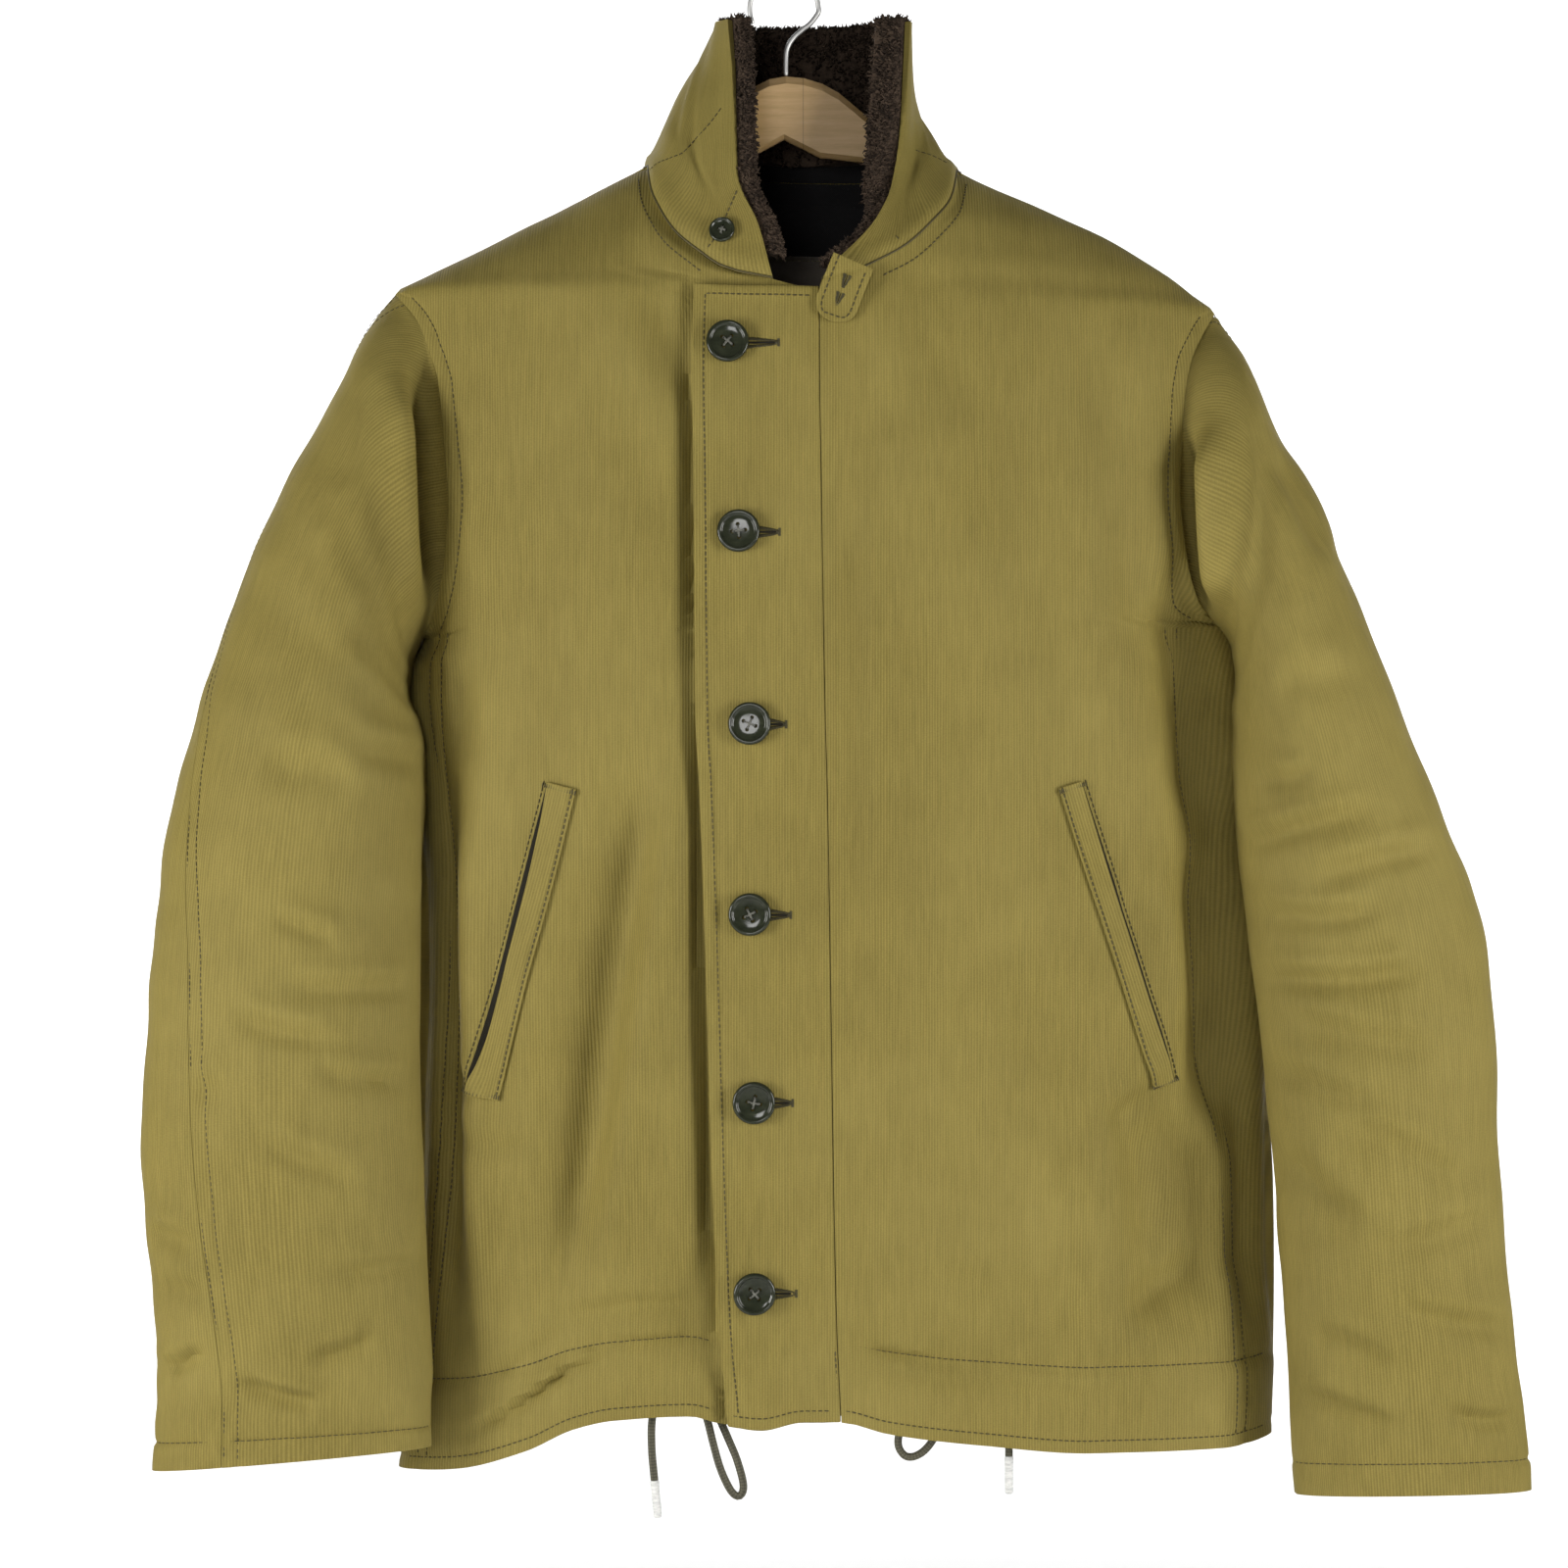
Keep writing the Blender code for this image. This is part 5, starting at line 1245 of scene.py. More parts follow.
def sleeve_piece(side, word, part, seams):
    """One of a sleeve's two pieces: the under one faces front, the top one lies behind."""
    sections = np.concatenate((np.linspace(0.0, 2.0, 40), np.linspace(2.0, SLEEVE_SECTIONS, 170)[1:]))
    share = np.linspace(0.0, 1.0, 57)[None, :]
    seam = sleeve_seam(side, sections)[:, None]
    if part == "under":
        theta = seam + (math.pi - seam) * share
    else:
        theta = math.pi + (math.pi + seam) * share
    section = np.broadcast_to(sections[:, None], theta.shape)
    base = sleeve_base(side, section, theta)
    normals = sleeve_normal(side, section, theta)
    loop, loop_normals = armhole_point(side, theta[0])
    middle = armhole_point(side, np.linspace(0.0, 2.0 * math.pi, 48, endpoint=False))[0].mean(axis=0)
    inward = middle - loop
    inward = unit(inward - loop_normals * (inward * loop_normals).sum(axis=-1, keepdims=True))
    base[0] = loop + inward * SEAM_GAP
    weight = ease(section / 0.4)[..., None]
    normals = unit(normals * weight + loop_normals[None] * (1.0 - weight))
    held = ("first", "last")
    raised = sleeve_relief(side, section, theta) * edge_hold(*theta.shape, held)
    uv = np.stack((theta * 58.0, section * SECTION_LENGTH), axis=-1) * MM
    cloth_shell(f"sleeve_{word}_{part}", base, normals, raised, uv, held)
    seams.row(*on_sleeve(side, CUFF_STITCH, theta[-1]))


def add_sleeves(seams):
    for side, word in ((-1, "right"), (1, "left")):
        for part in ("under", "top"):
            sleeve_piece(side, word, part, seams)
        section = np.linspace(0.2, SLEEVE_SECTIONS - 0.1, 220)
        for distance in SLEEVE_ROWS:
            seams.row(*on_sleeve(side, section, sleeve_seam(side, section) + distance / SLEEVE_RADIUS))


# Collar

def collar_width(height):
    """The middle and half width of the collar's ring."""
    minus_x, plus_x = COLLAR.at("minus_x", height), COLLAR.at("plus_x", height)
    return 0.5 * (minus_x + plus_x), 0.5 * (plus_x - minus_x)


def collar_end(height, end):
    middle, half = collar_width(height)
    share = np.clip((COLLAR.at(end, height) - middle) / half, -1.0, 1.0)
    angle = np.arccos(signed_power(share, COLLAR_ROUNDNESS / 2.0))
    return 2.0 * math.pi - angle if end == "minus_end" else -angle


def collar_ring(height, share):
    start, end = collar_end(height, "minus_end"), collar_end(height, "plus_end")
    angle = start + (end - start) * share
    middle, half = collar_width(height)
    power = 2.0 / COLLAR_ROUNDNESS
    sine = np.sin(angle)
    depth = np.where(sine > 0.0, COLLAR.at("back", height), COLLAR.at("front", height))
    x = middle + half * signed_power(np.cos(angle), power)
    return x, depth * signed_power(sine, power), ease(0.5 + 0.5 * sine)


def neck_seam():
    """The neck seam from the right front end round the back to the left front end."""
    front = spaced(NECK_TOP, NECK_BASE)
    angles = np.linspace(math.pi, 0.0, 110)[1:-1]
    level = np.concatenate((front[::-1], np.full(len(angles), NECK_TOP), front))
    angle = np.concatenate((right_inner_angle(front[::-1]), angles, left_inner_angle(front) - 2.0 * math.pi))
    return level, angle


def collar_form(rows):
    """The collar's outer points and normals, standing on the neck seam."""
    level, angle = neck_seam()
    base, base_normals = body_point(level, angle), body_normal(level, angle)
    inward = NECK_AIM - base
    inward = unit(inward - base_normals * (inward * base_normals).sum(axis=-1, keepdims=True))
    base = base + inward * SEAM_GAP
    start = collar_end(np.array(0.0), "minus_end")
    sweep = collar_end(np.array(0.0), "plus_end") - start
    centre = 10.0
    turn = np.arctan2(base[:, 1] / 60.0, (base[:, 0] - centre) / 87.0)
    turn = np.where((turn < -0.5 * math.pi) & (base[:, 0] < centre), turn + 2.0 * math.pi, turn)
    share = np.clip((turn - start) / sweep, 0.0, 1.0)
    share[0], share[-1] = 0.0, 1.0
    height = np.linspace(0.0, 1.0, rows + 1)[:, None]
    x, y, rear = collar_ring(height, share[None, :])
    top = COLLAR_TOP_FRONT + (COLLAR_TOP_BACK - COLLAR_TOP_FRONT) * rear
    z = base[None, :, 2] + (top - base[None, :, 2]) * height
    hold = 1.0 - ease(height / COLLAR_BASE_BLEND)
    ring_x, ring_y, _ = collar_ring(np.zeros_like(height), share[None, :])
    x, y = x + (base[:, 0] - ring_x) * hold, y + (base[:, 1] - ring_y) * hold
    grid = np.stack((x, y, z), axis=-1)
    grid[0] = base
    normals = unit(np.cross(np.gradient(grid, axis=1), np.gradient(grid, axis=0)))
    middle = grid.shape[1] // 2
    if normals[rows // 2, middle, 1] < 0.0:
        normals = -normals
    blend = ease(height / 0.12)[..., None]
    normals = unit(normals * blend + base_normals[None] * (1.0 - blend))
    return grid, normals, share


# The pile facing starts a few rows above the neck seam and rolls round the collar's front ends in steps
PILE_SKIP, ROLL_STEPS, ROLL_REACH, PILE_CELL = 3, 5, 7.0, 3.2
TUFTS_ON_FACE, TUFTS_ON_TOP, TUFTS_ON_END, TUFT_SINK = 3700, 1300, 1100, 0.8

# The lens and the plane in which the collar's rows of stitches were measured, in millimetres
VIEWPOINT, MEASURED_AT = Vector((0.0, -2660.0, -442.0)), -60.0
COLLAR_LINES = (
    ((-33.6, -79.8), (-39.4, -87.7), (-54.1, -104.0), (-67.7, -109.2), (-73.5, -114.5)),
    ((-25.2, -123.9), (-32.6, -141.2), (-37.8, -150.7), (-46.2, -161.2)),
    ((70.4, -102.4), (79.8, -105.5), (89.3, -110.3)),
    ((59.9, -148.1), (65.6, -155.9)),
)
COLLAR_CREASES = (
    (60, 20, 68, 50, 84, 84, 6.0, 1.3),
    (22, 18, 40, 34, 52, 66, 5.0, 1.2),
    (100, 30, 112, 60, 120, 92, 7.0, 1.0),
    (150, 20, 158, 54, 150, 90, 8.0, 1.2),
    (210, 26, 216, 60, 208, 94, 8.0, 1.0),
    (270, 20, 262, 56, 272, 92, 8.0, 1.2),
    (330, 18, 322, 48, 330, 84, 6.0, 1.4),
    (372, 16, 360, 36, 352, 62, 5.0, 1.4),
)


def collar_relief(share, height):
    around, up = np.broadcast_arrays(share * 430.0, height * 100.0)
    total = crease_relief(around, up, COLLAR_CREASES) + waviness(around, up, 17, 0.45)
    rolled_seam = 1.5 * np.exp(-((up - 5.0) / 4.0) ** 2)
    return total * ease(up / 6.0) + rolled_seam * ease(up / 4.0)


def grid_tree(outer):
    """A search tree of a grid's faces, in millimetres."""
    rows, columns = outer.shape[:2]
    corner = (np.arange(rows - 1)[:, None] * columns + np.arange(columns - 1)[None, :]).ravel()
    faces = np.stack((corner, corner + 1, corner + columns + 1, corner + columns), axis=1)
    return BVHTree.FromPolygons(outer.reshape(-1, 3).tolist(), faces.tolist())


def laid_line(tree, line):
    """Points and normals on a grid along a line that was measured in the front view."""
    line = np.array(line, float)
    walked = np.concatenate(([0.0], np.cumsum(np.hypot(*np.diff(line, axis=0).T))))
    goals = np.arange(0.0, walked[-1], 1.5)
    points, normals = [], []
    for x, z in zip(np.interp(goals, walked, line[:, 0]), np.interp(goals, walked, line[:, 1])):
        aim = Vector((x, MEASURED_AT, z)) - VIEWPOINT
        spot, normal, _, _ = tree.ray_cast(VIEWPOINT, aim.normalized())
        if spot is not None:
            points.append(spot)
            normals.append(-normal if normal.dot(aim) > 0.0 else normal)
    return np.array(points), np.array(normals)


def add_collar(seams):
    grid, normals, share = collar_form(30)
    height = np.linspace(0.0, 1.0, 31)[:, None]
    raised = collar_relief(share[None, :], height)
    uv = np.stack(np.broadcast_arrays(share[None, :] * 430.0, height * 100.0), axis=-1) * MM
    outer = cloth_shell("collar_shell", grid, normals, raised, uv, (), 1.0)
    tree = grid_tree(outer)
    for line in COLLAR_LINES:
        seams.row(*laid_line(tree, line))
    # Painted shade: a thin dark tube in thread colour along the neck seam stands in for the shade in the
    # seam's gap.
    claim(tube_mesh("neck_seam_shade_line", outer[0] + normals[0] * 0.3, 0.55, 8, thread), "shell_cloth")
    add_pile(grid, normals)
    return outer, normals


def add_pile(grid, normals):
    """The collar's pile facing: a lumpy layer that rolls over the front edges, with curled tufts on it."""
    rng = np.random.default_rng(23)
    normals = normals[PILE_SKIP:]
    outer = grid[PILE_SKIP:] - normals * (CLOTH + SEAM_GAP + 0.1)
    rows, columns = outer.shape[:2]
    across = np.arange(columns)[None, :] * PILE_CELL
    lump = waviness(across, np.arange(rows)[:, None] * PILE_CELL, 29, 0.8)
    lump = lump + rng.normal(0.0, 0.35, (rows, columns))
    lump = lump + 7.5 * dip(across[:, ::-1], 15.0) + 1.2 * dip(across, 12.0)
    inner = outer - normals * (PILE - 1.6 + lump)[..., None]
    left, right = [], []
    down = 1.0 - np.linspace(0.0, 1.0, rows)[:, None]
    for column, towards, lean, rolled in ((0, 1, 0.3, left), (-1, -2, -1.1, right)):
        along = unit(outer[:, column] - outer[:, towards])
        along = unit(along + lean * down * np.array((1.0, 0.0, 0.0))) * (1.0 + 0.7 * abs(lean) * down)
        for k in range(1, ROLL_STEPS + 1):
            s = k / ROLL_STEPS
            out = along * ROLL_REACH * math.sin(0.5 * math.pi * s)
            thick = inner[:, column] - outer[:, column]
            low = outer[:, column] + out + normals[:, column] * 2.4 * s + thick * 0.30 * s * s
            rolled.append((low, inner[:, column] + out - thick * 0.25 * s * s))
    before, after = (np.stack([np.stack(pair) for pair in side], axis=2) for side in (left[::-1], right))
    outer, inner = np.concatenate((before, np.stack((outer, inner)), after), axis=2)
    for surface in (outer, inner):
        surface[-1] += unit(surface[-1] - surface[-2]) * (PILE_RISE - 0.4)
    rows, columns = outer.shape[:2]
    uv = np.stack(np.broadcast_arrays(np.arange(columns)[None, :], np.arange(rows)[:, None]), axis=-1)
    base = grid_object("pile_backing", inner, outer, (pile, pile), uv * PILE_CELL * MM)
    soften_edges(base, 2.4)
    claim(base, "pile", "collar_pile")
    add_tufts(outer, inner, rng)


def in_cells(grid, i, j, s, t):
    """Points inside a grid's cells."""
    return (grid[i, j] * (1 - s) * (1 - t) + grid[i + 1, j] * s * (1 - t) + grid[i, j + 1] * (1 - s) * t
            + grid[i + 1, j + 1] * s * t)


def tuft_roots(outer, inner, rng):
    """Where the tufts stand on the facing's inner face, top, rolls and ends, and which way they face."""
    rows, columns = outer.shape[:2]
    across = unit(inner - outer)
    up = unit(outer[-1] - outer[-2])
    left, right = unit(outer[:, 0] - outer[:, 1]), unit(outer[:, -1] - outer[:, -2])
    count = TUFTS_ON_FACE
    i, j = rng.integers(0, rows - 1, count), rng.integers(0, columns - 1, count)
    s, t = rng.random(count)[:, None], rng.random(count)[:, None]
    roots, facing = [in_cells(inner, i, j, s, t)], [across[i, j]]
    count = TUFTS_ON_TOP
    j, t, s = rng.integers(0, columns - 1, count), rng.random(count)[:, None], rng.random(count)[:, None]
    low, high = mix(outer[-1, j], inner[-1, j], s), mix(outer[-1, j + 1], inner[-1, j + 1], s)
    roots.append(mix(low, high, t) - up[j] * TUFT_SINK)
    facing.append(unit(up[j] + across[-1, j] * (1.4 * s - 0.7)))
    count = TUFTS_ON_END
    for first, towards, out in ((0, 1, left), (columns - 2, -1, right)):
        i, j = rng.integers(0, rows - 1, count), first + towards * rng.integers(0, ROLL_STEPS, count)
        s, t = rng.random(count)[:, None], rng.random(count)[:, None]
        roots.append(in_cells(outer, i, j, s, t))
        facing.append(unit(out[i] * 0.9 - across[i, j] * 0.6))
    for column, out in ((0, left), (-1, right)):
        i, t, s = rng.integers(0, rows - 1, count), rng.random(count)[:, None], rng.random(count)[:, None]
        low = mix(outer[i, column], inner[i, column], s)
        high = mix(outer[i + 1, column], inner[i + 1, column], s)
        roots.append(mix(low, high, t) - out[i] * TUFT_SINK)
        facing.append(unit(out[i] + across[i, column] * (1.2 * s - 0.2)))
    return np.concatenate(roots), np.concatenate(facing)


def add_tufts(outer, inner, rng):
    """Short curled tufts, each a tapering three-sided thread."""
    roots, facing = tuft_roots(outer, inner, rng)
    number, stations, sides = len(roots), 4, 3
    lean = unit(facing + rng.normal(0.0, 0.42, (number, 3)))
    side = unit(np.cross(lean, rng.normal(size=(number, 3))))
    other = np.cross(lean, side)
    length = rng.uniform(2.6, 5.6, number)[:, None]
    curl = rng.uniform(0.5, 1.0, number)[:, None]
    phase = rng.uniform(0.0, 2.0 * math.pi, number)[:, None]
    rings = []
    for k in range(stations):
        f = k / (stations - 1)
        turn = phase + f * 5.2
        bent = (side * np.cos(turn) + other * np.sin(turn)) * curl * f
        centre = roots + lean * length * f * (1.0 - 0.25 * f) + bent
        radius = 0.95 * (1.0 - 0.68 * f)
        for corner in range(sides):
            a = corner * 2.0 * math.pi / sides
            rings.append(centre + (side * math.cos(a) + other * math.sin(a)) * radius)
    walls = [(k + c, k + (c + 1) % sides, k + sides + (c + 1) % sides, k + sides + c)
             for k in range(0, sides * (stations - 1), sides) for c in range(sides)]
    per = sides * stations
    ends = [(2, 1, 0), (per - 3, per - 2, per - 1)]
    starts = (np.arange(number) * per)[:, None, None]
    faces = (np.array(walls) + starts).reshape(-1, 4).tolist()
    faces += (np.array(ends) + starts).reshape(-1, 3).tolist()
    claim(mesh_object("pile_tufts", np.stack(rings, axis=1), faces, pile), "pile")


# Lining and label

LINING_DEPTH = CLOTH + SEAM_GAP + 1.2
TO_FRONT = np.array((0.0, -1.0, 0.0))


def add_neck_inside():
    levels = spaced(-118.0, -208.0)
    angle = np.linspace(math.radians(38.0), math.radians(142.0), 90)[None, :] + 0.0 * levels[:, None]
    level = np.broadcast_to(levels[:, None], angle.shape)
    grid, normals = body_point(level, angle), body_normal(level, angle)
    wrinkle = waviness(grid[..., 0], level, 41, 0.35) - 0.4
    outer = grid - normals * LINING_DEPTH
    inner = outer - normals * (LINING + wrinkle * 0.4)[..., None]
    uv = np.stack((grid[..., 0], level), axis=-1) * MM
    lining = grid_object("lining_back", inner, outer, (inside, inside), uv)
    claim(lining, "lining", "back_lining")
    levels = np.linspace(-146.0, -186.0, 16)
    x = np.linspace(-24.5, 50.5, 30)[None, :] + 0.0 * levels[:, None]
    level = np.broadcast_to(levels[:, None], x.shape)
    angle = body_angle(level, x, front=False)
    base = body_point(level, angle) - body_normal(level, angle) * (LINING_DEPTH + LINING + 1.4)
    front = base - (0.8 + 0.25 * np.sin(x / 7.0))[..., None] * np.array((0.0, 1.0, 0.0))
    uv = np.stack((x, level), axis=-1) * MM
    label = grid_object("label_blank", front, base, (label_cloth, label_cloth), uv)
    claim(label, "label", "neck_label")
    rim = Seams()
    rim.pitch = 2.6
    facing = np.broadcast_to(TO_FRONT, front.shape)
    for row in (1, -2):
        rim.row(front[row, 1:-1], facing[row, 1:-1])
    for column in (1, -2):
        rim.row(front[1:-1, column], facing[1:-1, column])
    rim.make("label_stitches", pale_thread, 0.5, 0.2)


# Welts, strap, buttons and buttonholes

def add_welt(word, seams):
    """A welt whose outer long edge gapes a little over the pocket mouth, a sheet in painted shade."""
    (x1, z1), (x2, z2), width, side = WELTS[word]
    along = unit(np.array((x2 - x1, z2 - z1)))
    across = np.array((-along[1], along[0]))
    if across[0] < 0.0:
        across = -across
    length = math.hypot(x2 - x1, z2 - z1)
    rows, columns = 60, 9

    def on_line(share, offset):
        """The front at a share of the welt's length and an offset across it."""
        x = x1 + along[0] * length * share + across[0] * offset
        z = z1 + along[1] * length * share + across[1] * offset
        return on_front(x, level_of(x, z))

    t, u = np.linspace(0.0, 1.0, rows + 1)[:, None], np.linspace(0.0, 1.0, columns + 1)[None, :]
    swell = np.sin(math.pi * t)
    gape = 3.4 * swell ** 0.7 if word == "right" else 2.2 * swell ** 0.7 * t ** 0.3
    inner_edge, outer_edge = 0.5 * width, -0.5 * width + 1.6 + gape
    s = -side * (outer_edge + (inner_edge - outer_edge) * u)
    base, normals = on_line(t, s)
    lift = LAY_GAP + 0.2 + 0.9 * (1.0 - u) ** 2 * swell
    crown = 1.5 + 0.35 * np.sin(math.pi * u) - 0.25 * dip(u - 0.85, 0.06)
    low = base + normals * lift[..., None]
    high = low + normals * crown[..., None]
    if side > 0:
        low, high = low[:, ::-1], high[:, ::-1]
    uv = np.stack(np.broadcast_arrays(s, t * length), axis=-1) * MM
    piece = grid_object(f"cloth_welt_{word}", high, low, (cloth, cloth), uv)
    soften_edges(piece, 0.6)
    claim(piece, "shell_cloth", f"welt_{word}")
    # Painted shade: a dark sheet laid in the pocket mouth stands in for the shade inside the pocket.
    mouth = -side * (-0.5 * width + 1.2 + (gape + 1.6) * np.linspace(0.0, 1.0, 5)[None, :])
    floor, facing = on_line(0.015 + 0.97 * t, mouth)
    uv = np.stack(np.broadcast_arrays(mouth, t * length), axis=-1) * MM
    hollow = grid_object(f"pocket_mouth_shade_{word}", floor + facing * 0.34, floor + facing * 0.12, (dark,), uv)
    claim(hollow, "shell_cloth")
    for offset, lift in ((0.5 * width - 1.6, LAY_GAP + 1.82), (-0.5 * width - 0.6, 0.0)):
        place, facing = on_line(t[:, 0], -side * offset)
        seams.row(place + facing * lift, facing)
    step = np.array((along[0], 0.0, along[1])) * 1.5
    for end in (0.012, 0.988):
        place, facing = on_line(end, np.linspace(-0.5 * width, 0.5 * width, 15))
        place = place + facing * (LAY_GAP + 1.75)
        seams.bars(place - step, place + step, facing)


def strap_half(t):
    rounding = 0.74
    s = np.clip((t - rounding) / (1.0 - rounding), 0.0, 1.0)
    return np.maximum(0.5 * STRAP_WIDTH * np.sqrt(np.maximum(1.0 - s * s, 0.0)), 1.6)


def add_strap(seams):
    """The throat strap with two worked holes, its round end down."""
    start, knee, end = (np.array((x, 0.0, z)) for x, z in STRAP_LINE)
    rows, columns = 34, 14
    t = np.linspace(0.0, 1.0, rows + 1)
    centre = start * (1 - t)[:, None] ** 2 + knee * (2 * t * (1 - t))[:, None] + end * t[:, None] ** 2
    tangent = unit(np.gradient(centre, axis=0))
    across = np.stack((-tangent[:, 2], 0.0 * t, tangent[:, 0]), axis=-1)
    u = np.linspace(-1.0, 1.0, columns + 1)
    flat = centre[:, None] + across[:, None] * (strap_half(t)[:, None] * u[None])[..., None]
    x, z = flat[..., 0], flat[..., 2]
    base, _ = on_front(x, level_of(x, np.minimum(z, -168.0)))
    lift = mix(4.6, LAY_GAP + 0.6, ease(t / 0.75))[:, None]
    y = base[..., 1].min(axis=1, keepdims=True) * 0.5 + base[..., 1] * 0.5 - lift
    low = np.stack((x, y, z), axis=-1)
    crown = STRAP_THICKNESS - 0.5 * np.abs(u) ** 6 - 0.3 * dip(np.abs(u) - 0.76, 0.07)
    high = low + TO_FRONT * crown[None, :, None]
    uv = np.stack((x, z), axis=-1) * MM
    piece = grid_object("cloth_throat_strap", high, low, (cloth, cloth), uv)
    soften_edges(piece, 0.8)
    claim(piece, "shell_cloth", "throat_strap")
    line = np.concatenate((high[:-3, 2], high[-4, 2:-2], high[:-3, -3][::-1]))
    seams.row(line, np.broadcast_to(TO_FRONT, line.shape))
    holes = Seams()
    for middle in (0.36, 0.66):
        k = int(middle * rows)
        seat = high[k, columns // 2] + TO_FRONT * 0.05
        whipped_hole(holes, seat, tangent[k], TO_FRONT, 6.0, 0.5, 26, f"strap_hole_{k}")
    holes.make("strap_hole_stitches", hole_thread, 0.6, 0.3)


def whipped_hole(holes, middle, along, normal, length, gap, count, name):
    """A worked hole: a slit in painted shade with thread whipped round it."""
    along = unit(along - normal * np.dot(along, normal))
    across = np.cross(normal, along)
    rng = np.random.default_rng(len(name) + count)
    half = 0.5 * length
    run = np.linspace(-1.0, 1.0, count // 2)[:, None]
    for side in (-1.0, 1.0):
        inner = middle + run * half * along + side * gap * (0.52 - 0.25 * run) * across
        reach = 1.75 - 0.65 * run + rng.normal(0.0, 0.14, run.shape)
        holes.bars(inner, inner + side * reach * across, np.broadcast_to(normal, inner.shape))
    tack = middle + (half + np.array((-0.2, 0.4, 1.0)))[:, None] * along
    spread = (0.9 + 0.3 * gap) * across
    holes.bars(tack - spread, tack + spread, np.broadcast_to(normal, tack.shape))
    sides = 20
    turn = np.linspace(0.0, 2.0 * math.pi, sides, endpoint=False)[:, None]
    rim = middle + along * half * signed_power(np.cos(turn), 0.5) + across * gap * 0.45 * np.sin(turn)
    faces = [tuple(range(sides)), tuple(range(2 * sides - 1, sides - 1, -1))]
    faces += [(k, sides + k, sides + (k + 1) % sides, (k + 1) % sides) for k in range(sides)]
    # Painted shade: the slit is a dark sheet that stands in for the shade in the hole's opening.
    slit = mesh_object(name, np.concatenate((rim + normal * 0.08, rim - normal * 0.2)), faces, dark)
    slit.data.shade_flat()
    claim(slit, "shell_cloth")


def ring(sides, radius, height, centre=(0.0, 0.0)):
    """Points of a level circle."""
    turns = [2.0 * math.pi * k / sides for k in range(sides)]
    return [(centre[0] + radius * math.cos(a), centre[1] + radius * math.sin(a), height) for a in turns]


def wall(start, sides):
    """Faces between two rings of points that follow each other."""
    return [(start + k, start + (k + 1) % sides, start + sides + (k + 1) % sides, start + sides + k)
            for k in range(sides)]


HOLE_SPREAD = 0.215


def button_mesh(name, radius, height):
    """A four-hole button with a raised rim and a dished face, its back at Z = 0."""
    profile = (
        (0.80, 0.0), (0.93, 0.16), (0.995, 0.40), (1.0, 0.62), (0.975, 0.84), (0.93, 0.97),
        (0.88, 1.0), (0.83, 0.97), (0.79, 0.86), (0.76, 0.74), (0.72, 0.68), (0.45, 0.60),
    )
    around, middle_rise = 72, 0.57
    points, faces = [(0.0, 0.0, 0.0)], []
    for share, rise in profile:
        points += ring(around, radius * share, height * rise)
    points.append((0.0, 0.0, height * middle_rise))
    last = 1 + (len(profile) - 1) * around
    for k in range(around):
        after = (k + 1) % around
        faces += [(0, 1 + after, 1 + k), (len(points) - 1, last + k, last + after)]
    for start in range(1, last, around):
        faces += wall(start, around)
    body = mesh_object(name + "_blank", points, faces, resin)
    points, faces, sides = [], [], 14
    spread, bore = HOLE_SPREAD * radius, 0.095 * radius
    for x, y in ((spread, spread), (-spread, spread), (-spread, -spread), (spread, -spread)):
        start = len(points)
        points += ring(sides, bore, -height, (x, y)) + ring(sides, bore, 2.0 * height, (x, y))
        faces += wall(start, sides)
        faces.append(tuple(start + k for k in range(sides - 1, -1, -1)))
        faces.append(tuple(start + sides + k for k in range(sides)))
    cutter = mesh_object(name + "_holes", points, faces, resin)
    cut = body.modifiers.new("holes", "BOOLEAN")
    cut.object = cutter
    cut.operation = "DIFFERENCE"
    bpy.context.view_layer.update()
    made = bpy.data.meshes.new_from_object(body.evaluated_get(bpy.context.evaluated_depsgraph_get()))
    made.name = name
    bpy.data.objects.remove(body, do_unlink=True)
    bpy.data.objects.remove(cutter, do_unlink=True)
    made.materials.clear()
    made.materials.append(resin)
    made.shade_smooth()
    made.set_sharp_from_angle(angle=math.radians(38.0))
    return made


def place_button(name, mesh, seat, normal, spin, node):
    turn = Vector((0.0, 0.0, 1.0)).rotation_difference(Vector(normal).normalized()).to_matrix().to_4x4()
    place = Matrix.Translation(Vector(seat) * MM) @ turn @ Matrix.Rotation(spin, 4, "Z")
    own = mesh.copy()
    own.transform(place)
    claim(link_object(name, own), "button", node)
    return place


def button_thread(name, place, radius, height):
    """Two crossing bights of thread over the button's middle, down into its holes."""
    reach = HOLE_SPREAD * radius * math.sqrt(2.0)
    steps, sides, thickness = 8, 6, 0.24
    points, faces = [], []
    for turn in (math.radians(45.0), math.radians(135.0)):
        for shift in (-0.34, 0.0, 0.34):
            path = []
            for k in range(steps + 1):
                f = 2.0 * k / steps - 1.0
                rise = height * 0.60 + 0.75 * (1.0 - abs(f) ** 4) - 5.4 * max(abs(f) - 0.82, 0.0)
                path.append(Vector((f * reach * math.cos(turn) - shift * math.sin(turn),
                                    f * reach * math.sin(turn) + shift * math.cos(turn), rise)))
            start = len(points)
            for k, p in enumerate(path):
                tangent = (path[min(k + 1, steps)] - path[max(k - 1, 0)]).normalized()
                one = tangent.orthogonal().normalized()
                two = tangent.cross(one)
                for across, up, _ in ring(sides, thickness, 0.0):
                    points.append(place @ ((p + one * across + two * up) * MM) / MM)
            for k in range(steps):
                faces += wall(start + k * sides, sides)
            faces.append(tuple(start + c for c in range(sides - 1, -1, -1)))
            faces.append(tuple(start + steps * sides + c for c in range(sides)))
    claim(mesh_object(name, points, faces, grey_thread), "button")


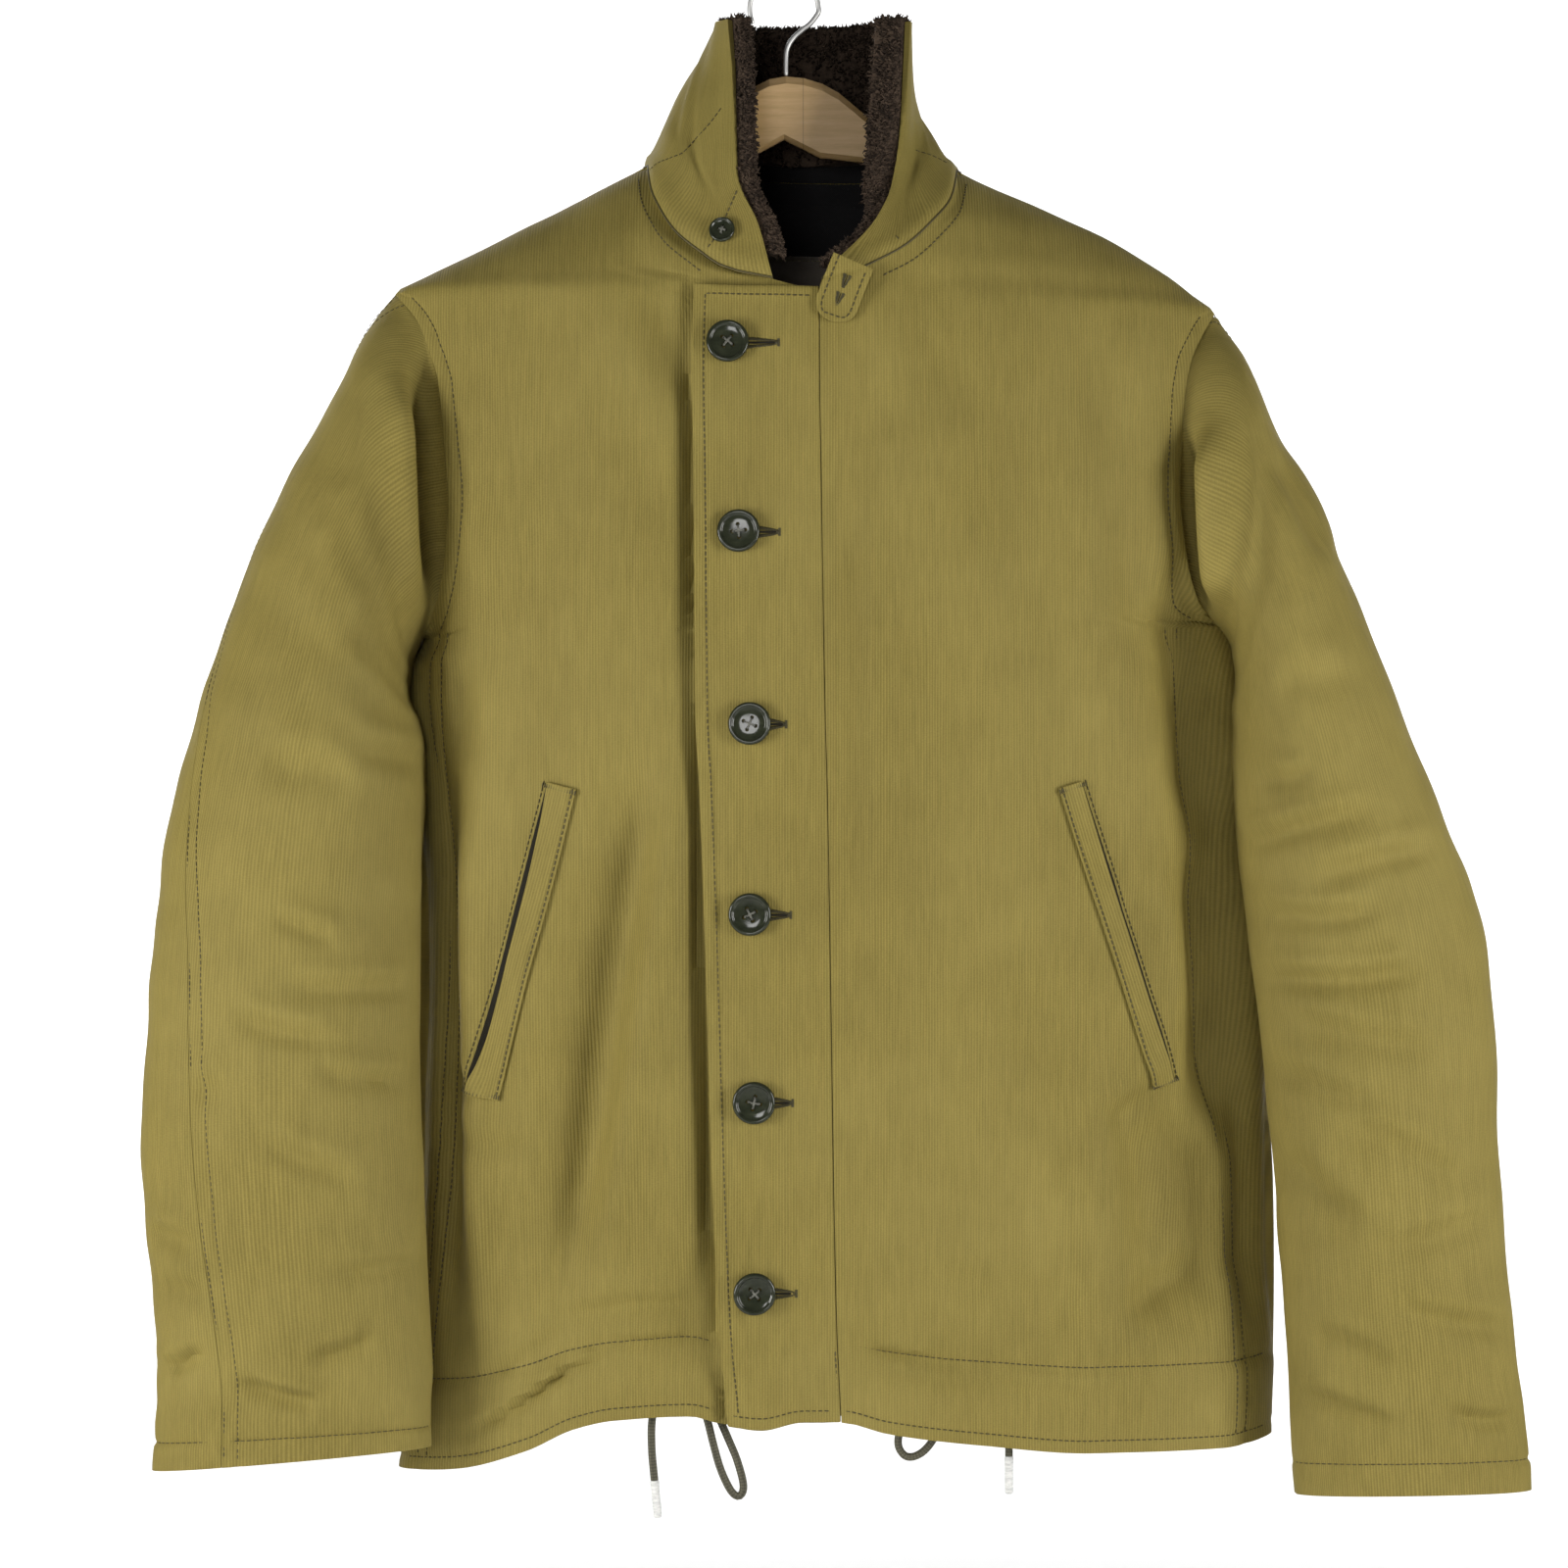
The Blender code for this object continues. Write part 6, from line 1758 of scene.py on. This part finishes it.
# Where the buttonholes start and end beside the middle of each button, and how they turn with it
HOLE_START, HOLE_TACK, HOLE_DROP = 9.5, 2.2, 0.4
HOLE_ENDS = (28.0, 22.5, 20.0, 22.5, 21.5, 23.5)
BUTTON_TURNS = (0.1, 0.85, 0.3, 1.2, 0.6, 0.05)


def at_place(x, z):
    """The creased front at X and Z."""
    return on_front(x, level_of(np.asarray(x), np.asarray(z)))


def add_buttons(collar_outer, collar_normals):
    mesh = button_mesh("button_blank", BUTTON_RADIUS, BUTTON_HEIGHT)
    holes = Seams()
    reach = 0.8 * BUTTON_RADIUS
    for k, ((x, z), hole_end) in enumerate(zip(BUTTONS, HOLE_ENDS)):
        around, _ = at_place((x, x + reach, x - reach, x, x), (z, z, z, z + reach, z - reach))
        normal = unit(np.array((around[1, 1] - around[2, 1], -2.0 * reach, around[3, 1] - around[4, 1])))
        seat = np.array((x, around[:, 1].min(), z)) + normal * (LAY_GAP + 0.2)
        place = place_button(f"button_face_{k + 1}", mesh, seat, normal, BUTTON_TURNS[k], f"button_{k + 1}")
        button_thread(f"button_thread_{k + 1}", place, BUTTON_RADIUS, BUTTON_HEIGHT)
        z = z - HOLE_DROP
        line, _ = at_place((x + 5.5, x + hole_end), (z, z))
        along = unit(line[1] - line[0])
        length = hole_end - HOLE_TACK - HOLE_START
        spot, facing = at_place(x + HOLE_START + 0.5 * length, z)
        whipped_hole(holes, spot + facing * 0.1, along, facing, length, 1.5, 56, f"buttonhole_{k + 1}")
        bar, facing = at_place(np.full(9, x + hole_end - 0.9), z + np.linspace(-1.9, 1.9, 9))
        holes.bars(bar - along * 0.9, bar + along * 0.9, facing)
    holes.make("buttonhole_stitches", hole_thread, 0.72, 0.5)
    small = button_mesh("collar_button_blank", COLLAR_BUTTON_RADIUS, COLLAR_BUTTON_HEIGHT)
    x, z = COLLAR_BUTTON
    flat = collar_outer.reshape(-1, 3)
    distance = np.where(flat[:, 1] < 0.0, np.hypot(flat[:, 0] - x, flat[:, 2] - z), np.inf)
    nearest = int(distance.argmin())
    normal = collar_normals.reshape(-1, 3)[nearest]
    seat = flat[nearest] + normal * (LAY_GAP + 0.3)
    place = place_button("collar_button_face", small, seat, normal, 0.4, "collar_button")
    button_thread("collar_button_thread", place, COLLAR_BUTTON_RADIUS, COLLAR_BUTTON_HEIGHT)


# Rows of stitches on the body

def add_body_seams(seams):
    below = np.arange(ARM_BASE + 2.0, HEM + 4.0, -2.0)
    arm = np.arange(ARM_TOP - 3.0, ARM_BASE + 3.0, -2.0)
    ridge = np.arange(NECK_TOP - 8.0, ARM_TOP + 2.0, -1.5)
    for side, table, name, rows in (
        (-1.0, ARMHOLE_MINUS, "minus_x", (10.0, 16.0)),
        (1.0, ARMHOLE_PLUS, "plus_x", (17.0, 23.0)),
    ):
        seams.row(*on_front(table.at("x", arm) - side * ARMHOLE_STITCH, arm))
        edge = mix(TORSO.at(name, arm), table.at("x", arm), BACK_ARMHOLE_DEPTH)
        seams.row(*on_back(edge - side * ARMHOLE_STITCH, arm))
        for distance in rows:
            seams.row(*on_front(TORSO.at(name, below) - side * distance, below))
        seams.row(*on_back(TORSO.at(name, ridge) * 0.985, ridge))
    minus, plus = TORSO.at("minus_x", HEM_BAND), TORSO.at("plus_x", HEM_BAND)
    seam, edge = PLACKET.at("seam", HEM_BAND), PLACKET.at("edge", HEM_BAND)
    for level in (HEM_BAND, HEM_STITCH):
        seams.row(*on_front(np.arange(minus + 3.0, edge - 3.0, 2.0), level, pressed=True))
        seams.row(*on_front(np.arange(seam + 1.0, plus - 3.0, 2.0), level))
        seams.row(*on_back(np.arange(minus + 3.0, plus - 3.0, 2.0), level))
    down = np.arange(PLACKET_TOP - TOP_STITCH, HEM_STITCH, -2.0)
    for x, level in (
        (np.arange(edge + 6.5, seam - 1.0, 2.0), HEM_STITCH),
        (PLACKET.at("edge", down) + EDGE_STITCH, down),
        (PLACKET.at("seam", down) - SEAM_STITCH, down),
        (np.arange(PLACKET.at("edge", PLACKET_TOP) + EDGE_STITCH, 17.0, 2.0), PLACKET_TOP - TOP_STITCH),
    ):
        seams.row(*on_front(x, level, relief=placket_relief))
    neck, inset = np.arange(NECK_TOP - 6.0, NECK_BASE + 4.0, -1.5), 6.0
    for side, table in ((-1.0, NECKLINE_MINUS), (1.0, NECKLINE_PLUS)):
        seams.row(*on_front(table.at("x", neck + inset * 0.6) + side * inset * 0.85, neck - inset * 0.5))


# Hanger and cords

def add_hanger():
    node = bpy.data.objects["hanger_wood"]
    node.data.materials.clear()
    node.data.materials.append(wood)
    bevel = node.modifiers.new("rounded", "BEVEL")
    bevel.width = 1.6 * MM
    bevel.segments = 3
    bevel.limit_method = "ANGLE"
    bevel.angle_limit = math.radians(20.0)
    stem = ((1, -53.9), (1, -46), (1.5, -40), (3.4, -35.4), (6.6, -31.6), (10.5, -28.3), (14.4, -25.2))
    turns = np.radians(np.linspace(-6.0, 205.0, 21))
    centre = 0.5 * HOOK_WIRE - HOOK_RADIUS
    bow = [(math.cos(a) * HOOK_RADIUS, centre + math.sin(a) * HOOK_RADIUS) for a in turns]
    route = smooth_route([(x, 0.0, z) for x, z in (*stem, *bow)], 150)
    radius = np.full(150, 0.5 * HOOK_WIRE)
    radius[:2], radius[-2:] = (0.9, 1.3), (1.25, 0.8)
    claim(tube_mesh("hook_wire", route, radius, 20, steel), "steel", "hanger_hook")


def smooth_route(route, count):
    """Evenly many points of a smooth curve through a route."""
    points = np.array(route, float)
    padded = np.concatenate(([2 * points[0] - points[1]], points, [2 * points[-1] - points[-2]]))
    fine = []
    for k in range(1, len(padded) - 2):
        p0, p1, p2, p3 = padded[k - 1:k + 3]
        for step in range(16):
            t = step / 16.0
            fine.append(0.5 * (2 * p1 + (p2 - p0) * t + (2 * p0 - 5 * p1 + 4 * p2 - p3) * t * t
                               + (3 * p1 - p0 - 3 * p2 + p3) * t ** 3))
    fine = np.array(fine + [points[-1]])
    walked = np.concatenate(([0.0], np.cumsum(np.linalg.norm(np.diff(fine, axis=0), axis=1))))
    goals = np.linspace(0.0, walked[-1], count)
    return np.stack([np.interp(goals, walked, fine[:, i]) for i in range(3)], axis=1)


# The clear tips: steps along the cord in millimetres and shares of their diameter
AGLET_PROFILE = ((0.3, 0.90), (1.0, 1.0), (2.2, 0.97), (5.0, 0.92), (9.0, 0.90), (13.0, 0.92), (17.0, 0.88),
                 (18.6, 0.92), (19.6, 0.86), (20.2, 0.60))


def add_cords():
    for word, route in CORD_ROUTES.items():
        x, _, z = route[0]
        level = level_of(np.array(x), np.array(z))
        angle = body_angle(level, x)
        skin = body_point(level, angle) - body_normal(level, angle) * CLOTH
        y = float(skin[1]) + LAY_GAP
        path = smooth_route(((x, y, z), (x, y + CORD_DIAMETER, z), *route[1:]), 160)
        cord = tube_mesh(f"drawcord_{word}", path, 0.5 * CORD_DIAMETER, 16, braid)
        claim(cord, "cord", f"cord_{word}")
        tangent = unit(path[-1] - path[-4])
        steps, widths = np.transpose(AGLET_PROFILE)
        radius = 0.5 * AGLET_DIAMETER * widths
        sleeve = tube_mesh(f"cord_tip_{word}", path[-1] + tangent * steps[:, None], radius, 18, tip)
        claim(sleeve, "aglet", f"aglet_{word}")


def main():
    add_camera()
    add_studio()
    add_stage()
    add_cords()
    seams = Seams()
    add_body()
    add_sleeves(seams)
    collar_outer, collar_normals = add_collar(seams)
    add_neck_inside()
    for word in WELTS:
        add_welt(word, seams)
    add_strap(seams)
    add_buttons(collar_outer, collar_normals)
    add_body_seams(seams)
    seams.make("topstitching", thread)
    add_hanger()


main()
